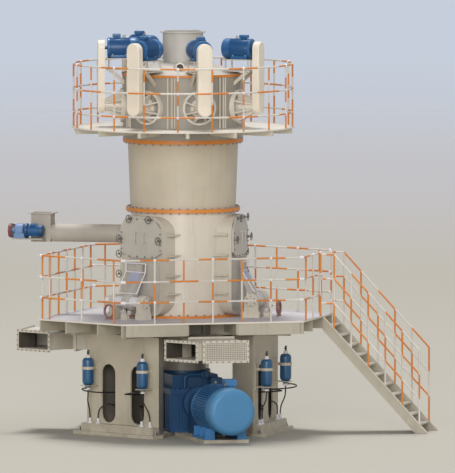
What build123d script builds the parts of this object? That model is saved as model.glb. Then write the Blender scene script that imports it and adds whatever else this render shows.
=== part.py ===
from build123d import *
import math
import os

# Vertical roller mill. The mill axis is +Z through the origin and the ground is z = 0.
# A station is drawn facing -Y, with +X along its tangent, and is then turned about the mill axis.
# Lengths are millimetres and angles are degrees.

# Stations around the mill
ROLLER_ANGLES = (0, 120, -120)
OUTER_SIDES = (-1, 1, -1)
DRIVE_ANGLE = 60
FEED_ANGLE = -60
BACK_ANGLE = 180

# Levels of the tower, each course standing on the one below
PEDESTAL_TOP = 1834
DECK_TOP = 2130
SHELL_TOP = 4059
MIDDLE_RING_HEIGHT = 62
CONE_HEIGHT = 1194
UPPER_RING_HEIGHT = 73
CLASSIFIER_HEIGHT = 1191
LID_HEIGHT = 201
OUTLET_HEIGHT = 553
UPPER_DECK_RISE = 206

# Radii of the tower
SHELL_RADIUS = 963
BOTTOM_RING_LIP = 67
MIDDLE_RING_LIP = 82
CONE_SPREAD = 47
UPPER_RING_LIP = 93
CLASSIFIER_SPREAD = 88
TOP_RING_LIP = 24
OUTLET_RADIUS = 371
OUTLET_FLANGE_LIP = 44
BOTTOM_RING_RADIUS = SHELL_RADIUS + BOTTOM_RING_LIP
MIDDLE_RING_RADIUS = SHELL_RADIUS + MIDDLE_RING_LIP
CONE_TOP_RADIUS = SHELL_RADIUS + CONE_SPREAD
UPPER_RING_RADIUS = CONE_TOP_RADIUS + UPPER_RING_LIP
CLASSIFIER_RADIUS = CONE_TOP_RADIUS + CLASSIFIER_SPREAD
TOP_RING_RADIUS = CLASSIFIER_RADIUS + TOP_RING_LIP
OUTLET_FLANGE_RADIUS = OUTLET_RADIUS + OUTLET_FLANGE_LIP

# Shared clearances
FIT_GAP = 0.3
OVERRUN = 400

# Base frame
BASE_PLATE = 60
SOLE_RADIUS = 900
MOTOR_BED_WIDTH = 840

# Pedestals
PEDESTAL_STANDOFF = 597
PEDESTAL_FACE = SHELL_RADIUS + PEDESTAL_STANDOFF
PEDESTAL_WIDTH = 1840
PEDESTAL_INNER_WIDTH = 1130
PEDESTAL_DEPTH = 480
PEDESTAL_WALL = 30
PLINTH_RISE = 140
PLINTH_REACH = 160
FOOT_REACH = 260
FOOT_SIDE = 110
SLOT_OFFSET = 370
SLOT_WIDTH = 350
SLOT_HEIGHT = 1070
SLOT_RISE = 20
ANCHOR_HOLE = 40
ANCHOR_REACH = 400
ANCHOR_TURN = 30

# Accumulators and their brackets
BOTTLE_RADIUS = 105
BOTTLE_HEIGHT = 510
BOTTLE_FOOT = 900
BOTTLE_DOME = 70
BOTTLE_OFFSET = 700
BOTTLE_STANDOFF = 200
NECK_RADIUS = 34
NECK_HEIGHT = 45
VALVE_RADIUS = 24
VALVE_HEIGHT = 95
PORT_RADIUS = 40
PORT_HEIGHT = 70
BRACKET_PLATE = 15
BRACKET_WIDTH = 190
BRACKET_RISE = 440
BAND_HEIGHT = 50
BAND_WALL = 12
BAND_LEVEL = 290
WEB_WIDTH = 60

# Hose fittings and sockets
FITTING_RADIUS = 24
FITTING_HEIGHT = 95
FITTING_FOOT_RADIUS = 52
FITTING_FOOT_HEIGHT = 34
FITTING_OUTER = 770
FITTING_INNER = 560
PORT_BOSS_RADIUS = 20
PORT_BOSS_LENGTH = 50
SOCKET_RADIUS = 36
SOCKET_LENGTH = 120
SOCKET_LEVELS = (480, 770)

# Hydraulic hoses
HOSE_RADIUS = 12
HOSE_ARC_SHARE = 0.45

# Gearbox
CASE_RADIUS = 610
CASE_TOP = 800
CASE_RIBS = 14
RIB_THICKNESS = 36
RIB_REACH = 55
JOINT_FLANGE = 50
COVER_RADIUS = 500
COVER_TOP = 1140
HUB_RADIUS = 420
DRIVE_HEIGHT = 595
BEVEL_RADIUS = 195
BEVEL_FLANGE_RADIUS = 300
BEVEL_FLANGE = 60
BEVEL_BLOCK_REACH = 1010
BEVEL_BLOCK_WIDTH = 960
BEVEL_BLOCK_LIP = 45
BEVEL_BLOCK_RIBS = 3
BEVEL_NECK = 140
BEVEL_REACH = BEVEL_BLOCK_REACH + BEVEL_NECK
HOUSING_SETBACK = 180
HOUSING_WIDTH = 860
HOUSING_TOP = 1095
COVER_BOX_START = 250
COVER_BOX_END = 470
COVER_BOX_TOP = 1040
GUARD_WIDTH = 440
GUARD_LENGTH = 780
GUARD_END = BEVEL_REACH + GUARD_LENGTH

# Oil pipe on the gearbox
PIPE_SETBACK = 80
PIPE_SIDE = 222
PIPE_RADIUS = 30
PIPE_BEND = 90
PIPE_RISE = 250
PIPE_RUN = 350
PIPE_FLANGE_RADIUS = 70
PIPE_FLANGE = 24

# Main motor
MOTOR_RADIUS = 432
MOTOR_CORE_RADIUS = 365
COUPLING_GAP = 50
MOTOR_LENGTH = 1110
MOTOR_FAN_LENGTH = 330
MOTOR_BED_SETBACK = 110
MOTOR_START = GUARD_END + COUPLING_GAP
MOTOR_FIN_END = MOTOR_START + MOTOR_LENGTH
MOTOR_END = MOTOR_FIN_END + MOTOR_FAN_LENGTH
MOTOR_BED_REACH = MOTOR_FIN_END - MOTOR_BED_SETBACK
MOTOR_FINS = 44
FIN_THICKNESS = 14
SHIELD_LENGTH = 70
SHIELD_RADIUS = 400
FAN_COVER_EDGE = 110
FOOT_HALF_WIDTH = 405
FOOT_INNER = 210
FOOT_PLATE = 45
FOOT_WEB = 60
FOOT_INSET = 130
SHAFT_RADIUS = 60
MOTOR_BOX_LENGTH = 220
MOTOR_BOX_WIDTH = 220
MOTOR_BOX_TOP = 1140
MOTOR_BOX_INSET = 620
MOTOR_BOX_PLACE = MOTOR_START + MOTOR_BOX_INSET
MOTOR_BOX_SIDE = 160

# Gas ring and ducts
GAS_RING_BOTTOM = 1480
GAS_RIB_BOTTOM = 1832
GAS_RING_INSET = 3
GAS_NECK_INSET = 63
GAS_RIB_LIP = 27
GAS_RING_RADIUS = SHELL_RADIUS - GAS_RING_INSET
GAS_NECK_RADIUS = SHELL_RADIUS - GAS_NECK_INSET
GAS_RIB_REACH = SHELL_RADIUS + GAS_RIB_LIP
GAS_RIBS = 24
GAS_RIB_THICKNESS = 24
DUCT_WIDTH = 800
DUCT_BOTTOM = 1490
DUCT_TOP = 1830
DUCT_WALL = 12
DUCT_JOINT = 1930
DUCT_END = 2950
BRANCH_CENTRE = 1900
BRANCH_WIDTH = 780
BRANCH_MOUTH = 1980
BRANCH_ROOT = 1200
DUCT_FLANGE_REACH = 35
DUCT_FLANGE = 20
SCREEN_THICKNESS = 8

# Lower deck
DECK_PLATE = 30
DECK_WALKWAY = 1562
DECK_REACH = SHELL_RADIUS + DECK_WALKWAY
DECK_LONG = 1220
DECK_SHORT = 950
DECK_EVEN = 1060
BEAM_WIDTH = 100
BEAM_OFFSET = 650
BEAM_INSET = 330
EDGE_PLATE = 26
EDGE_PLATE_INSET = 14
EDGE_PLATE_LENGTH = 640
EDGE_PLATE_SHARES = (0.012, 0.32, 0.70, 0.988)
CROSS_BEAM_OFFSET = 470
CROSS_BEAM_START = 1230
CROSS_BEAM_DROP = 200
FASCIA_DROP = 210
FASCIA_PLATE = 24
FASCIA_INSET = 20
FASCIA_CORNER = 70
FRONT_GAP = 960

# Railings
RAIL_RADIUS = 17
RAIL_SIDES = 8
RAIL_LEVELS = (384, 760, 1153)
RAIL_INSET = 35
RAIL_END_GAP = 45
RAIL_POSTS = (3, 5, 4, 6, 3, 7)
RAIL_MARGIN_SHARES = (0.12, 0.18, 0.13, 0.094, 0.12, 0.045)
STAIR_RAIL_LEVELS = (450, 900, 1345)

# Stair
STAIR_START = 450
STAIR_WIDTH = 780
STAIR_RUN = 1990
STAIR_STEPS = 12
STRINGER_DROP = 260
STRINGER_PLATE = 40
TREAD_DEPTH = 200
TREAD_PLATE = 30
STAIR_POSTS = 6
STAIR_POST_START = 210
STAIR_POST_PITCH = 321

# Roller windows
WINDOW_STANDOFF = 97
WINDOW_REACH = SHELL_RADIUS + WINDOW_STANDOFF
WINDOW_WIDTH = 1130
WINDOW_TOP = 3985
WINDOW_CORNER = 300
WINDOW_LIP = 26
WINDOW_LIP_WIDTH = 60
LUG_LEVELS = (3656, 3278, 2913, 2580)
LUG_REACH = 85
LUG_PLATE = 28
LUG_SETBACK = 60
DOOR_WIDTH = 1040
DOOR_BOTTOM = 3226
DOOR_TOP = 3955
DOOR_CHAMFER = 215
DOOR_PLATE = 34
PANEL_WIDTH = 860
PANEL_TOP = 3190
PANEL_DROP = 60
PANEL_PLATE = 18
HANDLE_OFFSET = 110
HANDLE_BOTTOM = 3500
HANDLE_HEIGHT = 200
HANDLE_RADIUS = 11
HANDLE_STANDOFF = 55

# Clamp handwheels on the window rims
WHEEL_RADIUS = 75
WHEEL_RIM = 13
WHEEL_DEPTH = 14
WHEEL_HUB_RADIUS = 17
WHEEL_STEM = 62
WHEEL_SPOKES = 3
WHEEL_SPOKE_WIDTH = 11
TOP_WHEEL_OFFSET = 250
TOP_WHEEL_LEVEL = 3935
HIGH_WHEEL_OFFSET = 500
HIGH_WHEEL_LEVEL = 3560
SIDE_WHEEL_OFFSET = 595
SIDE_WHEEL_LEVELS = (3278, 2913)

# Rocker stations
ROCKER_STANDOFF = 330
ROCKER_REACH = WINDOW_REACH + ROCKER_STANDOFF
ROCKER_RISE = 310
ROCKER_RADIUS = 97
ROCKER_LONG_END = 544
ROCKER_SHORT_END = 425
BEARING_INNER = 297
BEARING_OUTER = 409
BEARING_FOOT_WIDTH = 310
BEARING_FOOT_HEIGHT = 110
BEARING_CAP_RADIUS = 128
ARM_WIDTH = 150
ARM_TOP = 3110
ARM_KNEE = 2800
ARM_HEAD_STANDOFF = 50
ARM_HEAD_DEPTH = 105
ARM_KNEE_STANDOFF = 235
ARM_HUB_RADIUS = 150
GUARD_FRAME_INNER = 320
GUARD_FRAME_OUTER = 180
GUARD_FRAME_TOP = 2969
GUARD_FRAME_BAR = 26
GUARD_FRAME_LEAN = 228
GUARD_BAR_SHARES = (0, 0.62, 1)
STOP_RING_STANDOFF = 385
STOP_RING_REACH = ROCKER_REACH + STOP_RING_STANDOFF
STOP_RING_OFFSET = 141
STOP_RING_RADIUS = 130
STOP_RING_TUBE = 20
STOP_FOOT_WIDTH = 150
STOP_FOOT_HEIGHT = 24

# Screw feeder
FEED_LEVEL = 3603
FEED_RADIUS = 165
FEED_FLANGE_RADIUS = 215
FEED_FLANGE = 30
FEED_TUBE_LENGTH = 1507
FEED_BOX_LENGTH = 370
FEED_BOX_START = SHELL_RADIUS + FEED_TUBE_LENGTH
FEED_BOX_END = FEED_BOX_START + FEED_BOX_LENGTH
FEED_BOX_WIDTH = 300
FEED_BOX_TOP = 3970
FEED_BOX_WALL = 12
FEED_LIP = 48
FEED_LIP_PLATE = 16
FEED_SHAFT_RADIUS = 40
FEED_DRIVE_OFFSET = 300
FEED_DRIVE_LEVEL = 3650
FEED_BASE_INSET = 90
FEED_BASE_LENGTH = 570
FEED_BASE_START = FEED_BOX_START + FEED_BASE_INSET
FEED_BASE_END = FEED_BASE_START + FEED_BASE_LENGTH
FEED_BASE_WIDTH = 270
FEED_BASE_PLATE = 22
FEED_MOTOR_RADIUS = 106
FEED_MOTOR_LENGTH = 320
FEED_MOTOR_END = FEED_BASE_START + FEED_MOTOR_LENGTH
FEED_GEAR_WIDTH = 230
FEED_GEAR_TOP = 3785
FEED_GUARD_GAP = 20
FEED_GUARD_START = FEED_BASE_END + FEED_GUARD_GAP
FEED_GUARD_DEPTH = 60
FEED_GUARD_RADIUS = 130

# Upper deck
UPPER_WALKWAY = 939
UPPER_DECK_RADIUS = CLASSIFIER_RADIUS + UPPER_WALKWAY
UPPER_DECK_PLATE = 22
UPPER_ARMS = 14
UPPER_ARM_WIDTH = 60
UPPER_ARM_DROP = 95
UPPER_ARM_INSET = 17
UPPER_ARM_REACH = UPPER_DECK_RADIUS - UPPER_ARM_INSET
UPPER_RAIL_INSET = 33
UPPER_RAIL_RADIUS = UPPER_DECK_RADIUS - UPPER_RAIL_INSET
UPPER_RAIL_LEVELS = (264, 700, 1147)
UPPER_POSTS = 20
UPPER_PANELS = 10
UPPER_RAIL_GAP = 6

# Classifier lid, top ring and outlet
TOP_RING_HEIGHT = 44
LID_TOP_RADIUS = 440
OUTLET_WALL = 10
OUTLET_FLANGE = 20
OUTLET_BOLTS = 12
OUTLET_BOLT_HOLE = 18
LID_PORT_ANGLE = 37
LID_PORT_PLACE = 680
LID_PORT_RADIUS = 80
LID_PORT_TOP = 6760
LID_PORT_WALL = 16
LID_PORT_DEPTH = 40

# Classifier drives, on a seven-part circle with one place left blank
HEAD_PLACES = 7
BLANK_PLACE = 2
HEAD_LEVEL = 5982
HEAD_RADIUS = 315
HEAD_STANDOFF = 42
HEAD_REACH = CLASSIFIER_RADIUS + HEAD_STANDOFF
HEAD_RIM = 42
HEAD_RIBS = 8
HEAD_RIB_THICKNESS = 22
HEAD_RIB_FOOT = 285
BLANK_STANDOFF = 27
BLANK_REACH = CLASSIFIER_RADIUS + BLANK_STANDOFF
BEARING_RADIUS = 110
BEARING_ROOT_RADIUS = 170
BELT_GUARD_STANDOFF = 339
BELT_GUARD_REACH = CLASSIFIER_RADIUS + BELT_GUARD_STANDOFF
BELT_GUARD_DEPTH = 126
BELT_GUARD_WIDTH = 280
BELT_GUARD_TOP = 7175
BELT_GUARD_EDGE = 22
HEAD_MOTOR_RADIUS = 188
HEAD_MOTOR_CORE = 160
HEAD_MOTOR_LENGTH = 570
HEAD_MOTOR_GAP = 52
HEAD_MOTOR_END = BELT_GUARD_REACH - HEAD_MOTOR_GAP
HEAD_MOTOR_START = HEAD_MOTOR_END - HEAD_MOTOR_LENGTH
HEAD_MOTOR_FAN = 150
HEAD_MOTOR_FINS = 28
HEAD_FIN_THICKNESS = 9
HEAD_FAN_EDGE = 30
HEAD_SHAFT_RADIUS = 30
HEAD_FOOT_WIDTH = 300
HEAD_FOOT_HEIGHT = 70
HEAD_FOOT_INSET = 60
HEAD_BOX_INSET = 170
HEAD_BOX_PLACE = HEAD_MOTOR_END - HEAD_BOX_INSET
HEAD_BOX_LENGTH = 150
HEAD_BOX_WIDTH = 130
HEAD_BOX_TOP = 7290
SLIDE_OVERHANG = 15
SLIDE_LENGTH = 540
SLIDE_END = HEAD_MOTOR_END + SLIDE_OVERHANG
SLIDE_START = SLIDE_END - SLIDE_LENGTH
SLIDE_WIDTH = 400
SLIDE_PLATE = 20
STUD_RADIUS = 14
STUD_INSET = 50
PLATFORM_LEVEL = 6645
PLATFORM_PLATE = 22
PLATFORM_INNER = 40
PLATFORM_START = SLIDE_START - PLATFORM_INNER
STRUT_OFFSET = 150
STRUT_WIDTH = 44
STRUT_DEPTH = 60
STRUT_FOOT_LEVEL = 6370

# Levels worked out from the courses
DECK_BOTTOM = DECK_TOP - DECK_PLATE
BOTTOM_RING_HEIGHT = 45
BOTTOM_RING_TOP = DECK_TOP + BOTTOM_RING_HEIGHT
MIDDLE_RING_TOP = SHELL_TOP + MIDDLE_RING_HEIGHT
CONE_TOP = MIDDLE_RING_TOP + CONE_HEIGHT
UPPER_RING_TOP = CONE_TOP + UPPER_RING_HEIGHT
CLASSIFIER_TOP = UPPER_RING_TOP + CLASSIFIER_HEIGHT
LID_TOP = CLASSIFIER_TOP + LID_HEIGHT
OUTLET_TOP = LID_TOP + OUTLET_HEIGHT
UPPER_DECK_TOP = UPPER_RING_TOP + UPPER_DECK_RISE
UPPER_DECK_BOTTOM = UPPER_DECK_TOP - UPPER_DECK_PLATE
PLINTH_TOP = BASE_PLATE + PLINTH_RISE
ROCKER_LEVEL = DECK_TOP + ROCKER_RISE
HEAD_MOTOR_LEVEL = BELT_GUARD_TOP - BELT_GUARD_WIDTH / 2
SLIDE_TOP = HEAD_MOTOR_LEVEL - HEAD_MOTOR_RADIUS
UPRIGHT = (Align.CENTER, Align.CENTER, Align.MIN)


def save(name, *shapes):
    """Write every solid of the given shapes as one node."""
    solids = [solid for shape in shapes for solid in shape.solids()]
    node = solids[0] if len(solids) == 1 else Compound(solids)
    export_step(node, os.path.join("parts", name + ".step"))


def turned(shape, angle):
    """A station's shape turned about the mill axis."""
    return Rot(0, 0, angle) * shape


def around(shape, count):
    """Equal copies of a shape about the mill axis, as one list."""
    return [turned(shape, 360 * index / count) for index in range(count)]


def drum(radius, bottom, top):
    """Upright cylinder on the mill axis between two levels."""
    return Pos(0, 0, bottom) * Cylinder(radius, top - bottom, align=UPRIGHT)


def block(x_span, y_span, z_span):
    """Box between a low and a high value on each axis."""
    low = [min(span) for span in (x_span, y_span, z_span)]
    size = [max(span) - min(span) for span in (x_span, y_span, z_span)]
    return Pos(*low) * Box(*size, align=(Align.MIN, Align.MIN, Align.MIN))


def rod(start, end, radius):
    """Round bar between two points."""
    line = Vector(*end) - Vector(*start)
    return Solid.make_cylinder(radius, line.length, Plane(start, z_dir=line))


def bar(start, end, width, depth):
    """Rectangular bar between two points, its width kept level."""
    line = Vector(*end) - Vector(*start)
    level = Vector(0, 0, 1).cross(line)
    frame = Plane(start, x_dir=level, z_dir=line)
    return frame * Box(width, depth, line.length, align=UPRIGHT)


def tube_bar(start, end, radius=RAIL_RADIUS):
    """Railing bar of few sides between two points."""
    line = Vector(*end) - Vector(*start)
    section = Plane(start, z_dir=line) * RegularPolygon(radius, RAIL_SIDES)
    return extrude(section, amount=line.length, dir=line.normalized())


def radial_rod(reach, length, level, radius, offset=0):
    """Round bar that runs outward along the station from one reach."""
    return rod((offset, -reach, level), (offset, -reach - length, level), radius)


def profile_across(points, x_start, x_end):
    """Outline of (reach, level) points, extruded along the station's tangent."""
    outline = [(x_start, -reach, level) for reach, level in points]
    face = make_face(Polyline(*outline, close=True))
    return extrude(face, amount=x_end - x_start, dir=(1, 0, 0))


def fused(shapes):
    """One solid from shapes that touch or overlap."""
    first, *others = shapes
    return first.fuse(*others).clean() if others else first


def base_frame():
    """Sole plate under the gearbox and the bed that carries the main motor."""
    half_bed = MOTOR_BED_WIDTH / 2
    bed = block((-half_bed, half_bed), (-MOTOR_BED_REACH, 0), (0, BASE_PLATE))
    return drum(SOLE_RADIUS, 0, BASE_PLATE) + turned(bed, DRIVE_ANGLE)


def pedestal_slot(centre):
    """Cutter for one capsule slot through the outer wall."""
    bottom = PLINTH_TOP + SLOT_RISE
    middle = bottom + SLOT_HEIGHT / 2
    sketch = Plane((centre, -PEDESTAL_FACE - PEDESTAL_WALL, middle), x_dir=(0, 0, 1), z_dir=(0, 1, 0))
    straight = SLOT_HEIGHT - SLOT_WIDTH
    capsule = sketch * SlotCenterToCenter(straight, SLOT_WIDTH)
    return extrude(capsule, amount=3 * PEDESTAL_WALL, dir=(0, 1, 0))


def pedestal_plan(front, side=0, wall=0):
    """Plan of a pedestal: wide at its outer face and drawn in towards the mill axis."""
    lean = (PEDESTAL_WIDTH - PEDESTAL_INNER_WIDTH) / 2 / PEDESTAL_DEPTH
    inner = PEDESTAL_FACE - PEDESTAL_DEPTH + wall
    halves = [
        PEDESTAL_WIDTH / 2 + side - wall * math.hypot(1, lean) + lean * (min(reach, PEDESTAL_FACE) - PEDESTAL_FACE)
        for reach in (front, PEDESTAL_FACE, inner)
    ]
    right = [(halves[0], -front), (halves[1], -PEDESTAL_FACE), (halves[2], -inner)]
    if front <= PEDESTAL_FACE:
        right = [(halves[0], -front), (halves[2], -inner)]
    left = [(-x, y) for x, y in reversed(right)]
    return make_face(Polyline(*right, *left, close=True))


def pedestal():
    """Welded wedge-shaped column with two slots, a plinth for the valve blocks and a bolted foot."""
    foot_front = PEDESTAL_FACE + FOOT_REACH
    body = extrude(pedestal_plan(PEDESTAL_FACE), amount=PEDESTAL_TOP)
    body += extrude(pedestal_plan(PEDESTAL_FACE + PLINTH_REACH), amount=PLINTH_TOP)
    body += extrude(pedestal_plan(foot_front, FOOT_SIDE), amount=BASE_PLATE)
    inside = pedestal_plan(PEDESTAL_FACE - PEDESTAL_WALL, 0, PEDESTAL_WALL)
    body -= extrude(Pos(0, 0, PLINTH_TOP) * inside, amount=PEDESTAL_TOP - PEDESTAL_WALL - PLINTH_TOP)
    for side in (-1, 1):
        body -= pedestal_slot(side * SLOT_OFFSET)
        hole_x, hole_y = station_point(side * ANCHOR_TURN, PEDESTAL_FACE + ANCHOR_REACH, 0)
        body -= rod((hole_x, hole_y, 0), (hole_x, hole_y, BASE_PLATE), ANCHOR_HOLE / 2)
    return body


def bottle(side):
    """Accumulator bottle with domed ends, neck and gas valve."""
    top = BOTTLE_FOOT + BOTTLE_HEIGHT
    place = (side * BOTTLE_OFFSET, -PEDESTAL_FACE - BOTTLE_STANDOFF, BOTTLE_FOOT)
    shell = Pos(*place) * Cylinder(BOTTLE_RADIUS, BOTTLE_HEIGHT, align=UPRIGHT)
    shell = fillet(shell.edges().filter_by(GeomType.CIRCLE), BOTTLE_DOME)
    neck = Pos(place[0], place[1], top) * Cylinder(NECK_RADIUS, NECK_HEIGHT, align=UPRIGHT)
    valve_foot = Pos(place[0], place[1], top + NECK_HEIGHT)
    valve = valve_foot * Cylinder(VALVE_RADIUS, VALVE_HEIGHT, align=UPRIGHT)
    return shell + neck + valve


def bottle_bracket(side):
    """Back plate, shelf, port and clamp band that carry one bottle."""
    x = side * BOTTLE_OFFSET
    y = -PEDESTAL_FACE - BOTTLE_STANDOFF
    half = BRACKET_WIDTH / 2
    shelf_bottom = BOTTLE_FOOT - BRACKET_PLATE
    back = block((x - half, x + half), (-PEDESTAL_FACE - BRACKET_PLATE, -PEDESTAL_FACE),
                 (shelf_bottom - PORT_HEIGHT, shelf_bottom + BRACKET_RISE))
    shelf = block((x - half, x + half), (y - half, -PEDESTAL_FACE), (shelf_bottom, BOTTLE_FOOT))
    port = Pos(x, y, shelf_bottom - PORT_HEIGHT) * Cylinder(PORT_RADIUS, PORT_HEIGHT, align=UPRIGHT)
    port += radial_rod(-y, PORT_BOSS_LENGTH, shelf_bottom - PORT_HEIGHT / 2, PORT_BOSS_RADIUS, x)
    band_place = Pos(x, y, BOTTLE_FOOT + BAND_LEVEL)
    inner = BOTTLE_RADIUS + FIT_GAP
    band = band_place * Cylinder(inner + BAND_WALL, BAND_HEIGHT, align=UPRIGHT)
    band -= band_place * Cylinder(inner, BAND_HEIGHT, align=UPRIGHT)
    web = block((x - WEB_WIDTH / 2, x + WEB_WIDTH / 2), (y + inner + BAND_WALL / 2, -PEDESTAL_FACE),
                (BOTTLE_FOOT + BAND_LEVEL, BOTTLE_FOOT + BAND_LEVEL + BAND_HEIGHT))
    return back + shelf + port + band + web


def hose_fitting(x):
    """Turned hose fitting on the plinth: conical foot and a straight stem."""
    y = -PEDESTAL_FACE - PLINTH_REACH / 2
    foot = Pos(x, y, PLINTH_TOP) * Cone(FITTING_FOOT_RADIUS, FITTING_RADIUS, FITTING_FOOT_HEIGHT, align=UPRIGHT)
    stem = Pos(x, y, PLINTH_TOP) * Cylinder(FITTING_RADIUS, FITTING_HEIGHT, align=UPRIGHT)
    return foot + stem


def hose_socket(side, level):
    """Hose socket on the back wall inside the pedestal, behind one slot."""
    back = PEDESTAL_FACE - PEDESTAL_DEPTH + PEDESTAL_WALL
    return radial_rod(back, SOCKET_LENGTH, level, SOCKET_RADIUS, side * SLOT_OFFSET)


# Hose routes for the +X side of a station, from its pedestal face: across, out from the face, and up.
# The drop runs from the port to the outer fitting, the rise from the inner fitting into the slot,
# and the loop from the front of the port round into the slot.
DROP_ROUTE = (
    (700, 200, 815),
    (700, 200, 715),
    (736, 178, 600),
    (770, 80, 425),
    (770, 80, 295),
)
RISE_ROUTE = (
    (560, 80, 295),
    (560, 80, 406),
    (490, 82, 500),
    (410, 14, 556),
    (370, -102, 558),
    (370, -210, 480),
    (370, -330, 480),
)
LOOP_ROUTE = (
    (700, 250, 850),
    (700, 325, 850),
    (650, 412, 838),
    (552, 450, 820),
    (448, 412, 805),
    (384, 312, 792),
    (370, 182, 780),
    (370, 30, 772),
    (370, -150, 770),
    (370, -330, 770),
)


def hose(route, side):
    """Tube of straight runs joined by tangent arcs along a hand-chosen route."""
    points = [Vector(side * x, -PEDESTAL_FACE - out, z) for x, out, z in route]
    radii = []
    for before, here, after in zip(points, points[1:], points[2:]):
        turn = math.radians((here - before).get_angle(after - here))
        shorter = min((here - before).length, (after - here).length)
        radii.append(HOSE_ARC_SHARE * shorter / math.tan(turn / 2))
    path = FilletPolyline(*points, radius=radii)
    start = Plane(points[0], z_dir=points[1] - points[0])
    return sweep(start * Circle(HOSE_RADIUS), path=path), radii


def hose_set():
    """The six hoses of one pedestal."""
    tubes = []
    for side in (-1, 1):
        for name, route in (("drop", DROP_ROUTE), ("rise", RISE_ROUTE), ("loop", LOOP_ROUTE)):
            tube, radii = hose(route, side)
            print("hose", name, side, "radii", [round(radius) for radius in radii])
            tubes.append(tube)
    return tubes


def bevel_plan(bottom, top, lip=0, setback=0, width=BEVEL_BLOCK_WIDTH):
    """Box over the bevel gear's plan, from the mill axis out to the front of the gearbox."""
    half = width / 2 + lip
    return block((-half, half), (setback - BEVEL_BLOCK_REACH - lip, 0), (bottom, top))


def bevel_block():
    """Box of the bevel gear with ribs on both sides, its joint flange, and the round neck for the shaft."""
    body = bevel_plan(BASE_PLATE, CASE_TOP)
    foot = bevel_plan(BASE_PLATE, BASE_PLATE + JOINT_FLANGE, BEVEL_BLOCK_LIP)
    flange = bevel_plan(CASE_TOP - JOINT_FLANGE, CASE_TOP, BEVEL_BLOCK_LIP)
    half = BEVEL_BLOCK_WIDTH / 2 + BEVEL_BLOCK_LIP
    pieces = [body, foot, flange]
    for index in range(BEVEL_BLOCK_RIBS):
        place = BEVEL_BLOCK_REACH - RIB_THICKNESS - index * (BEVEL_BLOCK_REACH - CASE_RADIUS) / BEVEL_BLOCK_RIBS
        pieces.append(block((-half, half), (-place - RIB_THICKNESS, -place), (BASE_PLATE, CASE_TOP)))
    for side in (-1, 1):
        edge = side * (BEVEL_FLANGE_RADIUS + RIB_THICKNESS)
        pieces.append(block((edge - RIB_THICKNESS / 2, edge + RIB_THICKNESS / 2),
                            (-BEVEL_BLOCK_REACH - BEVEL_BLOCK_LIP, 0), (BASE_PLATE, CASE_TOP)))
    pieces.append(radial_rod(0, BEVEL_REACH, DRIVE_HEIGHT, BEVEL_RADIUS))
    pieces.append(radial_rod(BEVEL_REACH - BEVEL_FLANGE, BEVEL_FLANGE, DRIVE_HEIGHT, BEVEL_FLANGE_RADIUS))
    return fused(pieces)


def gearbox_case():
    """Ribbed lower case of the gearbox, standing on the sole plate."""
    flange_radius = CASE_RADIUS + RIB_REACH
    case = drum(CASE_RADIUS, BASE_PLATE, CASE_TOP)
    case += drum(flange_radius, BASE_PLATE, BASE_PLATE + JOINT_FLANGE)
    case += drum(flange_radius, CASE_TOP - JOINT_FLANGE, CASE_TOP)
    half = RIB_THICKNESS / 2
    rib = block((-half, half), (-flange_radius, 0), (BASE_PLATE, CASE_TOP))
    return fused([case, turned(bevel_block(), DRIVE_ANGLE)] + around(rib, CASE_RIBS))


def gearbox_cover():
    """Upper case with its joint flange, the housing over the bevel gear and a small box beside the oil pipe."""
    joint = CASE_TOP + JOINT_FLANGE
    cover = drum(CASE_RADIUS + RIB_REACH, CASE_TOP, joint) + drum(COVER_RADIUS, CASE_TOP, COVER_TOP)
    flange = bevel_plan(CASE_TOP, joint, BEVEL_BLOCK_LIP)
    housing = bevel_plan(CASE_TOP, HOUSING_TOP, 0, HOUSING_SETBACK, HOUSING_WIDTH)
    box = block((COVER_BOX_START, COVER_BOX_END), (-BEVEL_BLOCK_REACH, 0), (CASE_TOP, COVER_BOX_TOP))
    return cover + turned(fused([flange, housing, box]), DRIVE_ANGLE)


def table_hub():
    """Flanged hub between the gearbox and the grinding table above it."""
    hub = drum(HUB_RADIUS, COVER_TOP, GAS_RING_BOTTOM)
    hub += drum(COVER_RADIUS, GAS_RING_BOTTOM - JOINT_FLANGE, GAS_RING_BOTTOM)
    return hub


def oil_pipe():
    """Bent oil pipe on the joint flange before the bevel housing, ending in a flange disc."""
    place = BEVEL_BLOCK_REACH - PIPE_SETBACK
    foot = CASE_TOP + JOINT_FLANGE
    elbow = foot + PIPE_RISE
    points = [(-PIPE_SIDE, -place, foot), (-PIPE_SIDE, -place, elbow), (PIPE_RUN - PIPE_SIDE, -place, elbow)]
    path = FilletPolyline(*points, radius=PIPE_BEND)
    pipe = sweep(Plane(points[0], z_dir=(0, 0, 1)) * Circle(PIPE_RADIUS), path=path)
    disc = rod(points[2], (PIPE_RUN - PIPE_SIDE + PIPE_FLANGE, -place, elbow), PIPE_FLANGE_RADIUS)
    return turned(pipe + disc, DRIVE_ANGLE)


def coupling_guard():
    """Arched cover over the coupling between gearbox and motor."""
    half = GUARD_WIDTH / 2
    start = -BEVEL_REACH
    body = block((-half, half), (-GUARD_END, start), (BASE_PLATE, DRIVE_HEIGHT))
    return body + rod((0, start, DRIVE_HEIGHT), (0, -GUARD_END, DRIVE_HEIGHT), half)


def finned_barrel(core, tip, fins, thickness, start, end, level):
    """Motor frame with fins around a round core, along the station."""
    frame = Plane((0, -start, level), x_dir=(1, 0, 0), z_dir=(0, -1, 0))
    fin = Pos((core + tip - thickness) / 2, 0) * Rectangle(tip - core + thickness, thickness)
    section = Circle(core) + [Rot(0, 0, 360 * index / fins) * fin for index in range(fins)]
    return extrude(frame * section, amount=end - start, dir=(0, -1, 0))


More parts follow.
